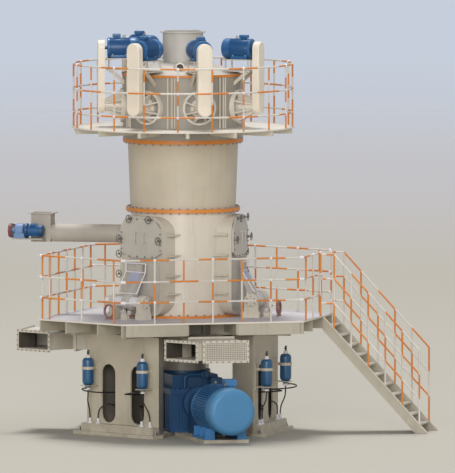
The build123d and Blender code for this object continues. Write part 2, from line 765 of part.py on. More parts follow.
def main_motor():
    """Finned motor frame with end shields, shaft and two long feet on the bed."""
    body = finned_barrel(MOTOR_CORE_RADIUS, MOTOR_RADIUS, MOTOR_FINS, FIN_THICKNESS,
                         MOTOR_START + SHIELD_LENGTH, MOTOR_FIN_END - SHIELD_LENGTH, DRIVE_HEIGHT)
    front = radial_rod(MOTOR_START, SHIELD_LENGTH, DRIVE_HEIGHT, SHIELD_RADIUS)
    back = radial_rod(MOTOR_FIN_END - SHIELD_LENGTH, SHIELD_LENGTH, DRIVE_HEIGHT, SHIELD_RADIUS)
    shaft = radial_rod(GUARD_END, MOTOR_START - GUARD_END, DRIVE_HEIGHT, SHAFT_RADIUS)
    feet = []
    foot_start = -MOTOR_START - FOOT_INSET
    foot_end = FOOT_INSET - MOTOR_FIN_END
    for side in (-1, 1):
        plate = block((side * FOOT_INNER, side * FOOT_HALF_WIDTH), (foot_end, foot_start),
                      (BASE_PLATE, BASE_PLATE + FOOT_PLATE))
        web = block((side * FOOT_INNER, side * (FOOT_INNER + FOOT_WEB)), (foot_end, foot_start),
                    (BASE_PLATE, DRIVE_HEIGHT - FOOT_INNER))
        feet += [plate, web]
    return turned(fused([body, front, back, shaft, motor_terminal_box()] + feet), DRIVE_ANGLE)


def fan_cover():
    """Fan cover with a rounded outer edge."""
    length = MOTOR_END - MOTOR_FIN_END
    cover = radial_rod(MOTOR_FIN_END, length, DRIVE_HEIGHT, MOTOR_RADIUS)
    rim = cover.edges().filter_by(GeomType.CIRCLE).sort_by(Axis.Y)[0]
    return turned(cover.fillet(FAN_COVER_EDGE, [rim]), DRIVE_ANGLE)


def motor_terminal_box():
    """Terminal box seated on the motor's finned back."""
    half = MOTOR_BOX_LENGTH / 2
    side = MOTOR_BOX_WIDTH / 2
    return block((MOTOR_BOX_SIDE - side, MOTOR_BOX_SIDE + side),
                 (-MOTOR_BOX_PLACE - half, half - MOTOR_BOX_PLACE), (DRIVE_HEIGHT, MOTOR_BOX_TOP))


def gas_ring():
    """Gas distribution ring under the deck: a plain drum with a ribbed neck above it."""
    ring = drum(GAS_RING_RADIUS, GAS_RING_BOTTOM, GAS_RIB_BOTTOM)
    ring += drum(GAS_NECK_RADIUS, GAS_RIB_BOTTOM, DECK_BOTTOM)
    half = GAS_RIB_THICKNESS / 2
    rib = block((-half, half), (-GAS_RIB_REACH, 0), (GAS_RIB_BOTTOM, DECK_BOTTOM))
    return fused([ring] + around(turned(rib, 180 / GAS_RIBS), GAS_RIBS))


def duct_section(start, end, reach=0):
    """Straight rectangular duct block along a station, grown all round by the given reach."""
    half = DUCT_WIDTH / 2 + reach
    return block((-half, half), (-end, -start), (DUCT_BOTTOM - reach, DUCT_TOP + reach))


def duct_neck():
    """Duct from the gas ring out to the bolted joint."""
    neck = duct_section(0, DUCT_JOINT)
    neck += duct_section(DUCT_JOINT - DUCT_FLANGE, DUCT_JOINT, DUCT_FLANGE_REACH)
    neck -= duct_section(0, DUCT_JOINT + OVERRUN, -DUCT_WALL)
    return turned(neck - drum(GAS_RING_RADIUS, 0, DECK_TOP), DRIVE_ANGLE)


def branch_section(front, back, reach=0):
    """Straight duct block of the open branch, which faces -Y."""
    half = BRANCH_WIDTH / 2 + reach
    return block((BRANCH_CENTRE - half, BRANCH_CENTRE + half), (-front, -back),
                 (DUCT_BOTTOM + DUCT_WALL - reach, DUCT_TOP - DUCT_WALL + reach))


def inlet_duct():
    """Outer duct: a screened end on the station line and an open branch that faces -Y."""
    main = duct_section(DUCT_JOINT, DUCT_END)
    main += duct_section(DUCT_JOINT, DUCT_JOINT + DUCT_FLANGE, DUCT_FLANGE_REACH)
    main += duct_section(DUCT_END - DUCT_FLANGE, DUCT_END, DUCT_FLANGE_REACH)
    outer = turned(main, DRIVE_ANGLE) + branch_section(BRANCH_MOUTH, BRANCH_ROOT)
    mouth = branch_section(BRANCH_MOUTH, BRANCH_MOUTH - DUCT_FLANGE, DUCT_FLANGE_REACH)
    run = turned(duct_section(DUCT_JOINT - OVERRUN, DUCT_END + OVERRUN, -DUCT_WALL), DRIVE_ANGLE)
    throat = branch_section(BRANCH_MOUTH + OVERRUN, BRANCH_ROOT, -DUCT_WALL)
    return outer + mouth - run - throat


def duct_screen():
    """Perforated sheet inside the outer end of a duct."""
    back = DUCT_END - 2 * SCREEN_THICKNESS
    return turned(duct_section(back, back + SCREEN_THICKNESS, -DUCT_WALL), DRIVE_ANGLE)


def across_mill(shape):
    """The same piece on the other side of the plane through roller 1."""
    return mirror(shape, about=Plane.YZ)


def station_point(angle, reach, along):
    """Plan point at a station, by its reach and its place along the tangent."""
    turn = math.radians(angle)
    return (
        reach * math.sin(turn) + along * math.cos(turn),
        along * math.sin(turn) - reach * math.cos(turn),
    )


def deck_corners():
    """The six deck corners, counter-clockwise from the front left one."""
    spans = ((-DECK_LONG, DECK_SHORT), (-DECK_SHORT, DECK_LONG), (-DECK_EVEN, DECK_EVEN))
    return [
        station_point(angle, DECK_REACH, along)
        for angle, span in zip(ROLLER_ANGLES, spans)
        for along in span
    ]


def lower_deck():
    """Six-sided deck plate around the mill shell."""
    outline = make_face(Polyline(*deck_corners(), close=True))
    plate = extrude(Pos(0, 0, DECK_BOTTOM) * outline, amount=DECK_PLATE)
    return plate - drum(SHELL_RADIUS + FIT_GAP, DECK_BOTTOM, DECK_TOP)


def deck_beams():
    """Radial beams over the pedestals and short cross beams in the gaps between them."""
    half = BEAM_WIDTH / 2
    beams = []
    for angle in ROLLER_ANGLES:
        for side in (-1, 1):
            centre = side * BEAM_OFFSET
            beam = block((centre - half, centre + half), (BEAM_INSET - DECK_REACH, 0),
                         (PEDESTAL_TOP, DECK_BOTTOM))
            beams.append(turned(beam - drum(GAS_RIB_REACH + FIT_GAP, 0, DECK_TOP), angle))
    reach = gap_edge_reach()
    for angle in (DRIVE_ANGLE, FEED_ANGLE, BACK_ANGLE):
        for side in (-1, 1):
            centre = side * CROSS_BEAM_OFFSET
            beam = block((centre - half / 2, centre + half / 2),
                         (FASCIA_INSET + FASCIA_PLATE - reach[angle], -CROSS_BEAM_START),
                         (DECK_BOTTOM - CROSS_BEAM_DROP, DECK_BOTTOM))
            beams.append(turned(beam, angle))
    return beams


def gap_edge_reach():
    """Distance from the mill axis to each of the deck edges between two rollers."""
    corners = deck_corners()
    pairs = {DRIVE_ANGLE: (1, 2), BACK_ANGLE: (3, 4), FEED_ANGLE: (5, 0)}
    reach = {}
    for angle, (first, second) in pairs.items():
        turn = math.radians(angle)
        reach[angle] = min(
            corners[index][0] * math.sin(turn) - corners[index][1] * math.cos(turn)
            for index in (first, second)
        )
    return reach


def edge_frame(start, end, level):
    """Plane at the start of a deck edge: x runs along the edge and y towards the mill."""
    along = Vector(end[0] - start[0], end[1] - start[1])
    frame = Plane((start[0], start[1], level), x_dir=along, z_dir=(0, 0, 1))
    return frame, along.length


def fascia(start, end, spans):
    """Fascia plates under one deck edge, over the given spans of its length."""
    frame, _ = edge_frame(start, end, DECK_BOTTOM)
    inner = FASCIA_INSET + FASCIA_PLATE
    return [
        frame * block(span, (FASCIA_INSET, inner), (-FASCIA_DROP, 0))
        for span in spans
    ]


def edge_plates(start, end):
    """Upright plates under a roller edge, square to it, with their ends at the edge."""
    frame, length = edge_frame(start, end, DECK_BOTTOM)
    plates = []
    for share in EDGE_PLATE_SHARES:
        place = share * (length - EDGE_PLATE)
        plates.append(frame * block((place, place + EDGE_PLATE),
                                    (EDGE_PLATE_INSET, EDGE_PLATE_INSET + EDGE_PLATE_LENGTH), (-FASCIA_DROP, 0)))
    return plates


def deck_fascia():
    """Fascia plates along the deck edges between rollers, open over the front duct, and roller edge plates."""
    corners = deck_corners()
    plates = []
    for index, start in enumerate(corners):
        end = corners[(index + 1) % len(corners)]
        length = math.dist(start, end)
        spans = [(FASCIA_CORNER, length - FASCIA_CORNER)]
        if index == 1:
            low = (length - FRONT_GAP) / 2
            spans = [(FASCIA_CORNER, low), (length - low, length - FASCIA_CORNER)]
        plates += edge_plates(start, end) if index % 2 == 0 else fascia(start, end, spans)
    return plates


def railing_panel(start, end, posts, margin_share, opening=0):
    """Straight railing panel on one deck edge: posts spread along it and three rails, fused."""
    frame, length = edge_frame(start, end, DECK_TOP)
    stop = length - RAIL_END_GAP - opening
    margin = margin_share * length
    bars = [tube_bar((RAIL_END_GAP, RAIL_INSET, level), (stop, RAIL_INSET, level)) for level in RAIL_LEVELS]
    for index in range(posts):
        place = margin + index * (length - 2 * margin) / (posts - 1)
        if place < stop:
            bars.append(tube_bar((place, RAIL_INSET, 0), (place, RAIL_INSET, RAIL_LEVELS[-1])))
    return frame * fused(bars)


def lower_railings():
    """Railing panels for the six deck edges from roller 1 round, with the stair opening left free."""
    corners = deck_corners()
    stair_side = DECK_LONG - STAIR_START
    openings = (0, 0, stair_side, 0, 0, 0)
    return [
        railing_panel(corners[index], corners[(index + 1) % len(corners)], *panel)
        for index, panel in enumerate(zip(RAIL_POSTS, RAIL_MARGIN_SHARES, openings))
    ]


def stair_level(reach):
    """Level of the stringers' upper edge at a reach from the mill axis."""
    return DECK_TOP - (reach - DECK_REACH) * DECK_TOP / STAIR_RUN


def stair_sides():
    """Tangent spans of the two stringers."""
    far = STAIR_START + STAIR_WIDTH
    return ((STAIR_START, STAIR_START + STRINGER_PLATE), (far - STRINGER_PLATE, far))


def stair_stringers():
    """Two sloping stringers from the deck edge to the ground."""
    slope = STAIR_RUN / DECK_TOP
    low_foot = DECK_REACH + (DECK_TOP - STRINGER_DROP) * slope
    outline = [
        (DECK_REACH, DECK_TOP),
        (DECK_REACH + STAIR_RUN, 0),
        (low_foot, 0),
        (DECK_REACH, DECK_TOP - STRINGER_DROP),
    ]
    return [turned(profile_across(outline, *span), ROLLER_ANGLES[1]) for span in stair_sides()]


def stair_treads():
    """Treads between the stringers, each with its nose on their upper edge."""
    rise = DECK_TOP / STAIR_STEPS
    run = STAIR_RUN / STAIR_STEPS
    (_, low), (high, _) = stair_sides()
    treads = []
    for step in range(1, STAIR_STEPS):
        nose = DECK_REACH + step * run
        top = DECK_TOP - step * rise
        back = max(nose - TREAD_DEPTH, DECK_REACH)
        tread = block((low, high), (-nose, -back), (top - TREAD_PLATE, top))
        treads.append(turned(tread, ROLLER_ANGLES[1]))
    return treads


def stair_railing(span):
    """Sloping railing on one stringer: posts on its edge and three rails."""
    x = sum(span) / 2
    reaches = [DECK_REACH + STAIR_POST_START + index * STAIR_POST_PITCH for index in range(STAIR_POSTS)]
    bars = []
    for height in STAIR_RAIL_LEVELS:
        ends = [(x, -reach, stair_level(reach) + height) for reach in (reaches[0], reaches[-1])]
        bars.append(tube_bar(*ends))
    for reach in reaches:
        foot = stair_level(reach + RAIL_RADIUS) - RAIL_RADIUS
        top = stair_level(reach) + STAIR_RAIL_LEVELS[-1]
        bars.append(tube_bar((x, -reach, foot), (x, -reach, top)))
    rail = fused(bars) - profile_across(
        [(reaches[0] - OVERRUN, stair_level(reaches[0] - OVERRUN)),
         (reaches[-1] + OVERRUN, stair_level(reaches[-1] + OVERRUN)),
         (reaches[-1] + OVERRUN, stair_level(reaches[-1] + OVERRUN) - STRINGER_DROP),
         (reaches[0] - OVERRUN, stair_level(reaches[0] - OVERRUN) - STRINGER_DROP)],
        x - STRINGER_PLATE, x + STRINGER_PLATE)
    return turned(rail, ROLLER_ANGLES[1])


def ring(radius, inner, bottom, top):
    """Flat ring about the mill axis."""
    return drum(radius, bottom, top) - drum(inner, bottom, top)


def cone_shell():
    """Cone between the two orange rings, wider at the top."""
    cone = Cone(SHELL_RADIUS, CONE_TOP_RADIUS, CONE_HEIGHT, align=UPRIGHT)
    return Pos(0, 0, MIDDLE_RING_TOP) * cone


def window_plane(reach):
    """Drawing plane on a station's face: x along the tangent and y up."""
    return Plane((0, -reach, 0), x_dir=(1, 0, 0), z_dir=(0, -1, 0))


def window_outline(shrink=0):
    """Rounded outline of a roller window, drawn in from its edge by the given amount."""
    bottom = BOTTOM_RING_TOP + FIT_GAP
    height = WINDOW_TOP - bottom
    middle = bottom + height / 2
    return Pos(0, middle) * RectangleRounded(WINDOW_WIDTH - 2 * shrink, height - 2 * shrink,
                                             WINDOW_CORNER - shrink)


def window_frame():
    """Window box on the mill shell with a raised rim and side lugs for the clamps."""
    depth = WINDOW_REACH - WINDOW_LIP
    box = extrude(window_plane(depth) * window_outline(), amount=-depth)
    rim = window_outline() - window_outline(WINDOW_LIP_WIDTH)
    box += extrude(window_plane(depth) * rim, amount=WINDOW_LIP)
    half = WINDOW_WIDTH / 2
    for level in LUG_LEVELS:
        box += block((-half - LUG_REACH, half + LUG_REACH), (LUG_SETBACK - WINDOW_REACH, 0),
                     (level - LUG_PLATE / 2, level + LUG_PLATE / 2))
    return box - drum(SHELL_RADIUS, 0, SHELL_TOP)


def inspection_door():
    """Eight-sided cover plate over the upper half of a window, with its two grab handles."""
    half = DOOR_WIDTH / 2
    cut = DOOR_CHAMFER
    outline = [
        (half - cut, DOOR_BOTTOM), (half, DOOR_BOTTOM + cut / 2), (half, DOOR_TOP - cut), (half - cut, DOOR_TOP),
        (cut - half, DOOR_TOP), (-half, DOOR_TOP - cut), (-half, DOOR_BOTTOM + cut / 2), (cut - half, DOOR_BOTTOM),
    ]
    plate = extrude(window_plane(WINDOW_REACH) * make_face(Polyline(*outline, close=True)), amount=DOOR_PLATE)
    return plate + door_handle(-1) + door_handle(1)


def lower_panel():
    """Closing panel inside the rim, below the door."""
    bottom = BOTTOM_RING_TOP + WINDOW_LIP_WIDTH + PANEL_DROP
    height = PANEL_TOP - bottom
    outline = Pos(0, bottom + height / 2) * RectangleRounded(PANEL_WIDTH, height, WINDOW_CORNER / 2)
    return extrude(window_plane(WINDOW_REACH - WINDOW_LIP) * outline, amount=PANEL_PLATE)


def door_handle(side):
    """Upright grab handle standing off the door."""
    x = side * HANDLE_OFFSET
    seat = WINDOW_REACH + DOOR_PLATE
    top = HANDLE_BOTTOM + HANDLE_HEIGHT
    grip = rod((x, -seat - HANDLE_STANDOFF, HANDLE_BOTTOM), (x, -seat - HANDLE_STANDOFF, top), HANDLE_RADIUS)
    legs = [
        radial_rod(seat, HANDLE_STANDOFF, level, HANDLE_RADIUS, x)
        for level in (HANDLE_BOTTOM + HANDLE_RADIUS, top - HANDLE_RADIUS)
    ]
    return fused([grip] + legs)


def handwheel(x, level, seat):
    """Clamp handwheel: rim, spokes and hub on a stem that stands on its seat."""
    rim = Circle(WHEEL_RADIUS) - Circle(WHEEL_RADIUS - WHEEL_RIM)
    length = WHEEL_RADIUS - WHEEL_RIM / 2
    spoke = Pos(length / 2, 0) * Rectangle(length, WHEEL_SPOKE_WIDTH)
    sketch = rim + [Rot(0, 0, 90 + 360 * index / WHEEL_SPOKES) * spoke for index in range(WHEEL_SPOKES)]
    face = window_plane(seat + WHEEL_STEM) * (Pos(x, level) * sketch)
    wheel = extrude(face, amount=WHEEL_DEPTH)
    return wheel + radial_rod(seat, WHEEL_STEM + WHEEL_DEPTH, level, WHEEL_HUB_RADIUS, x)


def handwheels(outer):
    """Handwheels of one window: a pair on top, a pair beside the door and two on the outer side."""
    wheels = []
    for side in (-1, 1):
        wheels.append(handwheel(side * TOP_WHEEL_OFFSET, TOP_WHEEL_LEVEL, WINDOW_REACH + DOOR_PLATE))
        wheels.append(handwheel(side * HIGH_WHEEL_OFFSET, HIGH_WHEEL_LEVEL, WINDOW_REACH + DOOR_PLATE))
    for level in SIDE_WHEEL_LEVELS:
        wheels.append(handwheel(outer * SIDE_WHEEL_OFFSET, level, WINDOW_REACH - LUG_SETBACK))
    return wheels


def rocker_shaft(outer):
    """Rocker shaft along the tangent, longer on its outer side."""
    ends = sorted((outer * ROCKER_LONG_END, -outer * ROCKER_SHORT_END))
    return rod((ends[0], -ROCKER_REACH, ROCKER_LEVEL), (ends[1], -ROCKER_REACH, ROCKER_LEVEL), ROCKER_RADIUS)


def rocker_bearing(side):
    """Bearing block on the deck with a round cap over the rocker shaft."""
    span = sorted((side * BEARING_INNER, side * BEARING_OUTER))
    half_foot = BEARING_FOOT_WIDTH / 2
    foot = block(span, (-ROCKER_REACH - half_foot, half_foot - ROCKER_REACH),
                 (DECK_TOP, DECK_TOP + BEARING_FOOT_HEIGHT))
    cheek = block(span, (-ROCKER_REACH - BEARING_CAP_RADIUS, BEARING_CAP_RADIUS - ROCKER_REACH),
                  (DECK_TOP, ROCKER_LEVEL))
    cap = rod((span[0], -ROCKER_REACH, ROCKER_LEVEL), (span[1], -ROCKER_REACH, ROCKER_LEVEL), BEARING_CAP_RADIUS)
    bore = rod((span[0], -ROCKER_REACH, ROCKER_LEVEL), (span[1], -ROCKER_REACH, ROCKER_LEVEL),
               ROCKER_RADIUS + FIT_GAP)
    return foot + cheek + cap - bore


def rocker_arm(outer):
    """Cranked arm from the rocker shaft up to the window, with its leaning guard frame of thin bars."""
    outline = [
        (WINDOW_REACH + ARM_HEAD_STANDOFF, ARM_TOP),
        (WINDOW_REACH + ARM_HEAD_STANDOFF + ARM_HEAD_DEPTH, ARM_TOP),
        (WINDOW_REACH + ARM_KNEE_STANDOFF, ARM_KNEE),
        (ROCKER_REACH + ARM_HUB_RADIUS, ROCKER_LEVEL + ARM_HUB_RADIUS / 2),
        (ROCKER_REACH, ROCKER_LEVEL),
        (ROCKER_REACH - ARM_HUB_RADIUS, ROCKER_LEVEL + ARM_HUB_RADIUS / 2),
        (WINDOW_REACH + ARM_KNEE_STANDOFF - ARM_HEAD_DEPTH, ARM_KNEE - ARM_HEAD_STANDOFF),
    ]
    half = ARM_WIDTH / 2
    ends = ((-half, -ROCKER_REACH, ROCKER_LEVEL), (half, -ROCKER_REACH, ROCKER_LEVEL))
    arm = profile_across(outline, -half, half) + rod(*ends, ARM_HUB_RADIUS)
    arm -= rod(*ends, ROCKER_RADIUS + FIT_GAP)
    return fused([arm] + guard_frame(outer))


def guard_frame(outer):
    """Bars of the leaning frame: two uprights beside the arm and cross bars through it."""
    xs = sorted((outer * GUARD_FRAME_INNER, -outer * GUARD_FRAME_OUTER))
    low = (ROCKER_REACH, ROCKER_LEVEL + BEARING_CAP_RADIUS + GUARD_FRAME_BAR)
    high = (ROCKER_REACH - GUARD_FRAME_LEAN, GUARD_FRAME_TOP)
    size = GUARD_FRAME_BAR
    bars = [bar((x, -low[0], low[1]), (x, -high[0], high[1]), size, size) for x in xs]
    for share in GUARD_BAR_SHARES:
        reach = low[0] + (high[0] - low[0]) * share
        level = low[1] + (high[1] - low[1]) * share
        bars.append(bar((xs[0] - size / 2, -reach, level), (xs[1] + size / 2, -reach, level), size, size))
    return bars


def stop_ring(outer):
    """Hoop on a small foot that stops the lever when it is swung out."""
    x = outer * STOP_RING_OFFSET
    level = DECK_TOP + STOP_FOOT_HEIGHT + STOP_RING_RADIUS
    tube = STOP_RING_TUBE
    wheel = radial_rod(STOP_RING_REACH - tube, 2 * tube, level, STOP_RING_RADIUS, x)
    wheel -= radial_rod(STOP_RING_REACH - tube, 2 * tube, level, STOP_RING_RADIUS - 2 * tube, x)
    half = STOP_FOOT_WIDTH / 2
    foot = block((x - half, x + half), (-STOP_RING_REACH - tube, tube - STOP_RING_REACH),
                 (DECK_TOP, DECK_TOP + STOP_FOOT_HEIGHT + tube))
    inside = radial_rod(STOP_RING_REACH - tube, 2 * tube, level, STOP_RING_RADIUS - 2 * tube, x)
    return wheel + (foot - inside)


def feed_tube():
    """Screw feeder tube from the shell to its inlet box, with an end flange on the shell."""
    tube = radial_rod(0, FEED_BOX_START, FEED_LEVEL, FEED_RADIUS)
    collar = radial_rod(0, SHELL_RADIUS + FEED_FLANGE, FEED_LEVEL, FEED_FLANGE_RADIUS)
    return turned(tube.fuse(collar) - drum(SHELL_RADIUS, 0, SHELL_TOP), FEED_ANGLE)


def feed_box():
    """Inlet box on the end of the feeder tube, open at the top, with its shaft end and lip."""
    half = FEED_BOX_WIDTH / 2
    bottom = FEED_LEVEL - FEED_RADIUS
    body = block((-half, half), (-FEED_BOX_END, -FEED_BOX_START), (bottom, FEED_BOX_TOP))
    lip = block((-half - FEED_LIP, half + FEED_LIP), (-FEED_BOX_END - FEED_LIP, FEED_LIP - FEED_BOX_START),
                (FEED_BOX_TOP - FEED_LIP_PLATE, FEED_BOX_TOP))
    wall = FEED_BOX_WALL
    well = block((wall - half, half - wall), (wall - FEED_BOX_END, -FEED_BOX_START - wall),
                 (FEED_LEVEL, FEED_BOX_TOP))
    shaft = radial_rod(FEED_BOX_END, FEED_GUARD_START - FEED_BOX_END, FEED_LEVEL, FEED_SHAFT_RADIUS)
    return turned(body + lip - well + shaft, FEED_ANGLE)


def feed_base():
    """Bracket plate beside the inlet box that carries the geared motor."""
    inner = FEED_BOX_WIDTH / 2
    outer = inner + FEED_BASE_WIDTH
    top = FEED_DRIVE_LEVEL - FEED_GEAR_WIDTH / 2 - FEED_BASE_PLATE
    plate = block((inner, outer), (-FEED_BASE_END, -FEED_BASE_START), (top - FEED_BASE_PLATE, top))
    gusset_top = top - FEED_BASE_PLATE
    outline = [(inner, gusset_top), (outer, gusset_top), (inner, FEED_LEVEL - FEED_RADIUS)]
    points = [(x, -FEED_BASE_START, level) for x, level in outline]
    gusset = extrude(make_face(Polyline(*points, close=True)), amount=FEED_BASE_PLATE, dir=(0, -1, 0))
    return turned(plate + gusset, FEED_ANGLE)


def feed_drive():
    """Geared motor on the bracket plate: round motor and a squarer gear case."""
    base = FEED_DRIVE_LEVEL - FEED_GEAR_WIDTH / 2 - FEED_BASE_PLATE
    motor = radial_rod(FEED_BASE_START, FEED_MOTOR_END - FEED_BASE_START, FEED_DRIVE_LEVEL,
                       FEED_MOTOR_RADIUS, FEED_DRIVE_OFFSET)
    half = FEED_GEAR_WIDTH / 2
    case = block((FEED_DRIVE_OFFSET - half, FEED_DRIVE_OFFSET + half), (-FEED_BASE_END, -FEED_MOTOR_END),
                 (base, FEED_GEAR_TOP))
    shaft = radial_rod(FEED_BASE_END, FEED_GUARD_START - FEED_BASE_END, FEED_DRIVE_LEVEL,
                       FEED_SHAFT_RADIUS, FEED_DRIVE_OFFSET)
    return turned(case + motor + shaft, FEED_ANGLE)


def chain_guard():
    """Guard over the chain from the gear case to the screw shaft."""
    wheels = [
        radial_rod(FEED_GUARD_START, FEED_GUARD_DEPTH, level, FEED_GUARD_RADIUS, x)
        for x, level in ((0, FEED_LEVEL), (FEED_DRIVE_OFFSET, FEED_DRIVE_LEVEL))
    ]
    lean = math.atan2(FEED_DRIVE_LEVEL - FEED_LEVEL, FEED_DRIVE_OFFSET)
    across = Vector(-math.sin(lean), math.cos(lean)) * FEED_GUARD_RADIUS
    points = [
        (0 + across.X, FEED_LEVEL + across.Y), (FEED_DRIVE_OFFSET + across.X, FEED_DRIVE_LEVEL + across.Y),
        (FEED_DRIVE_OFFSET - across.X, FEED_DRIVE_LEVEL - across.Y), (0 - across.X, FEED_LEVEL - across.Y),
    ]
    face = window_plane(FEED_GUARD_START) * make_face(Polyline(*points, close=True))
    return turned(fused(wheels + [extrude(face, amount=FEED_GUARD_DEPTH)]), FEED_ANGLE)


def upper_deck():
    """Round deck plate about the classifier."""
    return ring(UPPER_DECK_RADIUS, CLASSIFIER_RADIUS + FIT_GAP, UPPER_DECK_BOTTOM, UPPER_DECK_TOP)


def upper_deck_arms():
    """Radial arms under the upper deck."""
    half = UPPER_ARM_WIDTH / 2
    arm = block((-half, half), (-UPPER_ARM_REACH, 0), (UPPER_DECK_BOTTOM - UPPER_ARM_DROP, UPPER_DECK_BOTTOM))
    arm -= drum(CLASSIFIER_RADIUS, 0, CLASSIFIER_TOP)
    first = DRIVE_ANGLE + 180 / UPPER_ARMS
    return [turned(shape, first) for shape in around(arm, UPPER_ARMS)]


def upper_railing_panel():
    """One arc panel of the upper railing: two posts and three curved rails."""
    gap = math.degrees(UPPER_RAIL_GAP / UPPER_RAIL_RADIUS)
    sweep_angle = 360 / UPPER_PANELS - gap
    section = Pos(UPPER_RAIL_RADIUS, 0) * RegularPolygon(RAIL_RADIUS, RAIL_SIDES)
    bars = []
    for level in UPPER_RAIL_LEVELS:
        rail = revolve(Pos(0, 0, UPPER_DECK_TOP + level) * (Rot(90, 0, 0) * section), Axis.Z, sweep_angle)
        bars.append(turned(rail, -sweep_angle / 2 - 90))
    step = 360 / UPPER_POSTS
    for turn in (-step / 2, step / 2):
        top = UPPER_DECK_TOP + UPPER_RAIL_LEVELS[-1]
        post = tube_bar((0, -UPPER_RAIL_RADIUS, UPPER_DECK_TOP), (0, -UPPER_RAIL_RADIUS, top))
        bars.append(turned(post, turn))
    return fused(bars)


def upper_railing():
    """Arc panels all round the upper deck, with one post on the drive line."""
    first = DRIVE_ANGLE + 180 / UPPER_POSTS
    return [turned(panel, first) for panel in around(upper_railing_panel(), UPPER_PANELS)]


def classifier_housing():
    """Round classifier housing up to the underside of its top ring."""
    return drum(CLASSIFIER_RADIUS, UPPER_RING_TOP, CLASSIFIER_TOP - TOP_RING_HEIGHT)


def lid():
    """Sloping lid with the hole of the outlet through it and one small port."""
    cone = Pos(0, 0, CLASSIFIER_TOP) * Cone(CLASSIFIER_RADIUS, LID_TOP_RADIUS, LID_HEIGHT, align=UPRIGHT)
    return cone - drum(OUTLET_RADIUS - OUTLET_WALL, CLASSIFIER_TOP, LID_TOP) + lid_port()


def lid_port():
    """Short round port that stands on the slope of the lid."""
    place = Pos(0, -LID_PORT_PLACE, CLASSIFIER_TOP)
    height = LID_PORT_TOP - CLASSIFIER_TOP
    port = place * Cylinder(LID_PORT_RADIUS, height, align=UPRIGHT)
    well = Pos(0, -LID_PORT_PLACE, LID_PORT_TOP - LID_PORT_DEPTH)
    port -= well * Cylinder(LID_PORT_RADIUS - LID_PORT_WALL, LID_PORT_DEPTH, align=UPRIGHT)
    return turned(port, LID_PORT_ANGLE)


def outlet_pipe():
    """Outlet pipe with a drilled top flange."""
    inner = OUTLET_RADIUS - OUTLET_WALL
    pipe = ring(OUTLET_RADIUS, inner, LID_TOP, OUTLET_TOP)
    pipe += ring(OUTLET_FLANGE_RADIUS, inner, OUTLET_TOP - OUTLET_FLANGE, OUTLET_TOP)
    bolt_circle = (OUTLET_RADIUS + OUTLET_FLANGE_RADIUS) / 2
    hole = Pos(0, -bolt_circle, OUTLET_TOP - OUTLET_FLANGE)
    hole = hole * Cylinder(OUTLET_BOLT_HOLE / 2, OUTLET_FLANGE, align=UPRIGHT)
    for cutter in around(hole, OUTLET_BOLTS):
        pipe -= cutter
    return pipe


def head_angles():
    """Angles of the fitted classifier drives, then the angle of the blank place."""
    step = 360 / HEAD_PLACES
    fitted = [DRIVE_ANGLE + step * index for index in range(HEAD_PLACES) if index != BLANK_PLACE]
    return fitted, DRIVE_ANGLE + step * BLANK_PLACE


def wall_disc(reach):
    """Round cover seated on the curved classifier wall."""
    disc = radial_rod(0, reach, HEAD_LEVEL, HEAD_RADIUS)
    return disc - drum(CLASSIFIER_RADIUS, 0, CLASSIFIER_TOP)


def bearing_cone():
    """Rotor bearing: open ring on the wall, round housing and a cone of ribs between them."""
    rim = wall_disc(HEAD_REACH) - radial_rod(0, BELT_GUARD_REACH, HEAD_LEVEL, HEAD_RADIUS - HEAD_RIM)
    root = radial_rod(0, HEAD_REACH, HEAD_LEVEL, BEARING_ROOT_RADIUS) - drum(CLASSIFIER_RADIUS, 0, CLASSIFIER_TOP)
    housing = radial_rod(HEAD_REACH - HEAD_STANDOFF, BELT_GUARD_REACH - CLASSIFIER_RADIUS, HEAD_LEVEL,
                         BEARING_RADIUS)
    half = HEAD_RIB_THICKNESS / 2
    outline = [
        (HEAD_REACH - HEAD_STANDOFF / 2, HEAD_LEVEL), (HEAD_REACH - HEAD_STANDOFF / 2, HEAD_LEVEL + HEAD_RIB_FOOT),
        (HEAD_REACH + HEAD_RIB_THICKNESS, HEAD_LEVEL + HEAD_RIB_FOOT),
        (BELT_GUARD_REACH - HEAD_RIB_THICKNESS, HEAD_LEVEL + BEARING_RADIUS + half),
        (BELT_GUARD_REACH - HEAD_RIB_THICKNESS, HEAD_LEVEL),
    ]
    rib = profile_across(outline, -half, half)
    axis = Axis((0, 0, HEAD_LEVEL), (0, -1, 0))
    ribs = [rib.rotate(axis, 360 * (index + 1 / 2) / HEAD_RIBS) for index in range(HEAD_RIBS)]
    return fused([rim, root, housing] + ribs) - drum(CLASSIFIER_RADIUS, 0, CLASSIFIER_TOP)


def belt_guard():
    """Tall round-ended guard over the belts of one drive."""
    half = BELT_GUARD_WIDTH / 2
    straight = BELT_GUARD_TOP - half - HEAD_LEVEL
    outline = Pos(0, HEAD_LEVEL + straight / 2) * (Rot(0, 0, 90) * SlotCenterToCenter(straight, BELT_GUARD_WIDTH))
    guard = extrude(window_plane(BELT_GUARD_REACH) * outline, amount=BELT_GUARD_DEPTH)
    front = guard.faces().sort_by(Axis.Y)[0]
    return fillet(front.edges(), BELT_GUARD_EDGE)


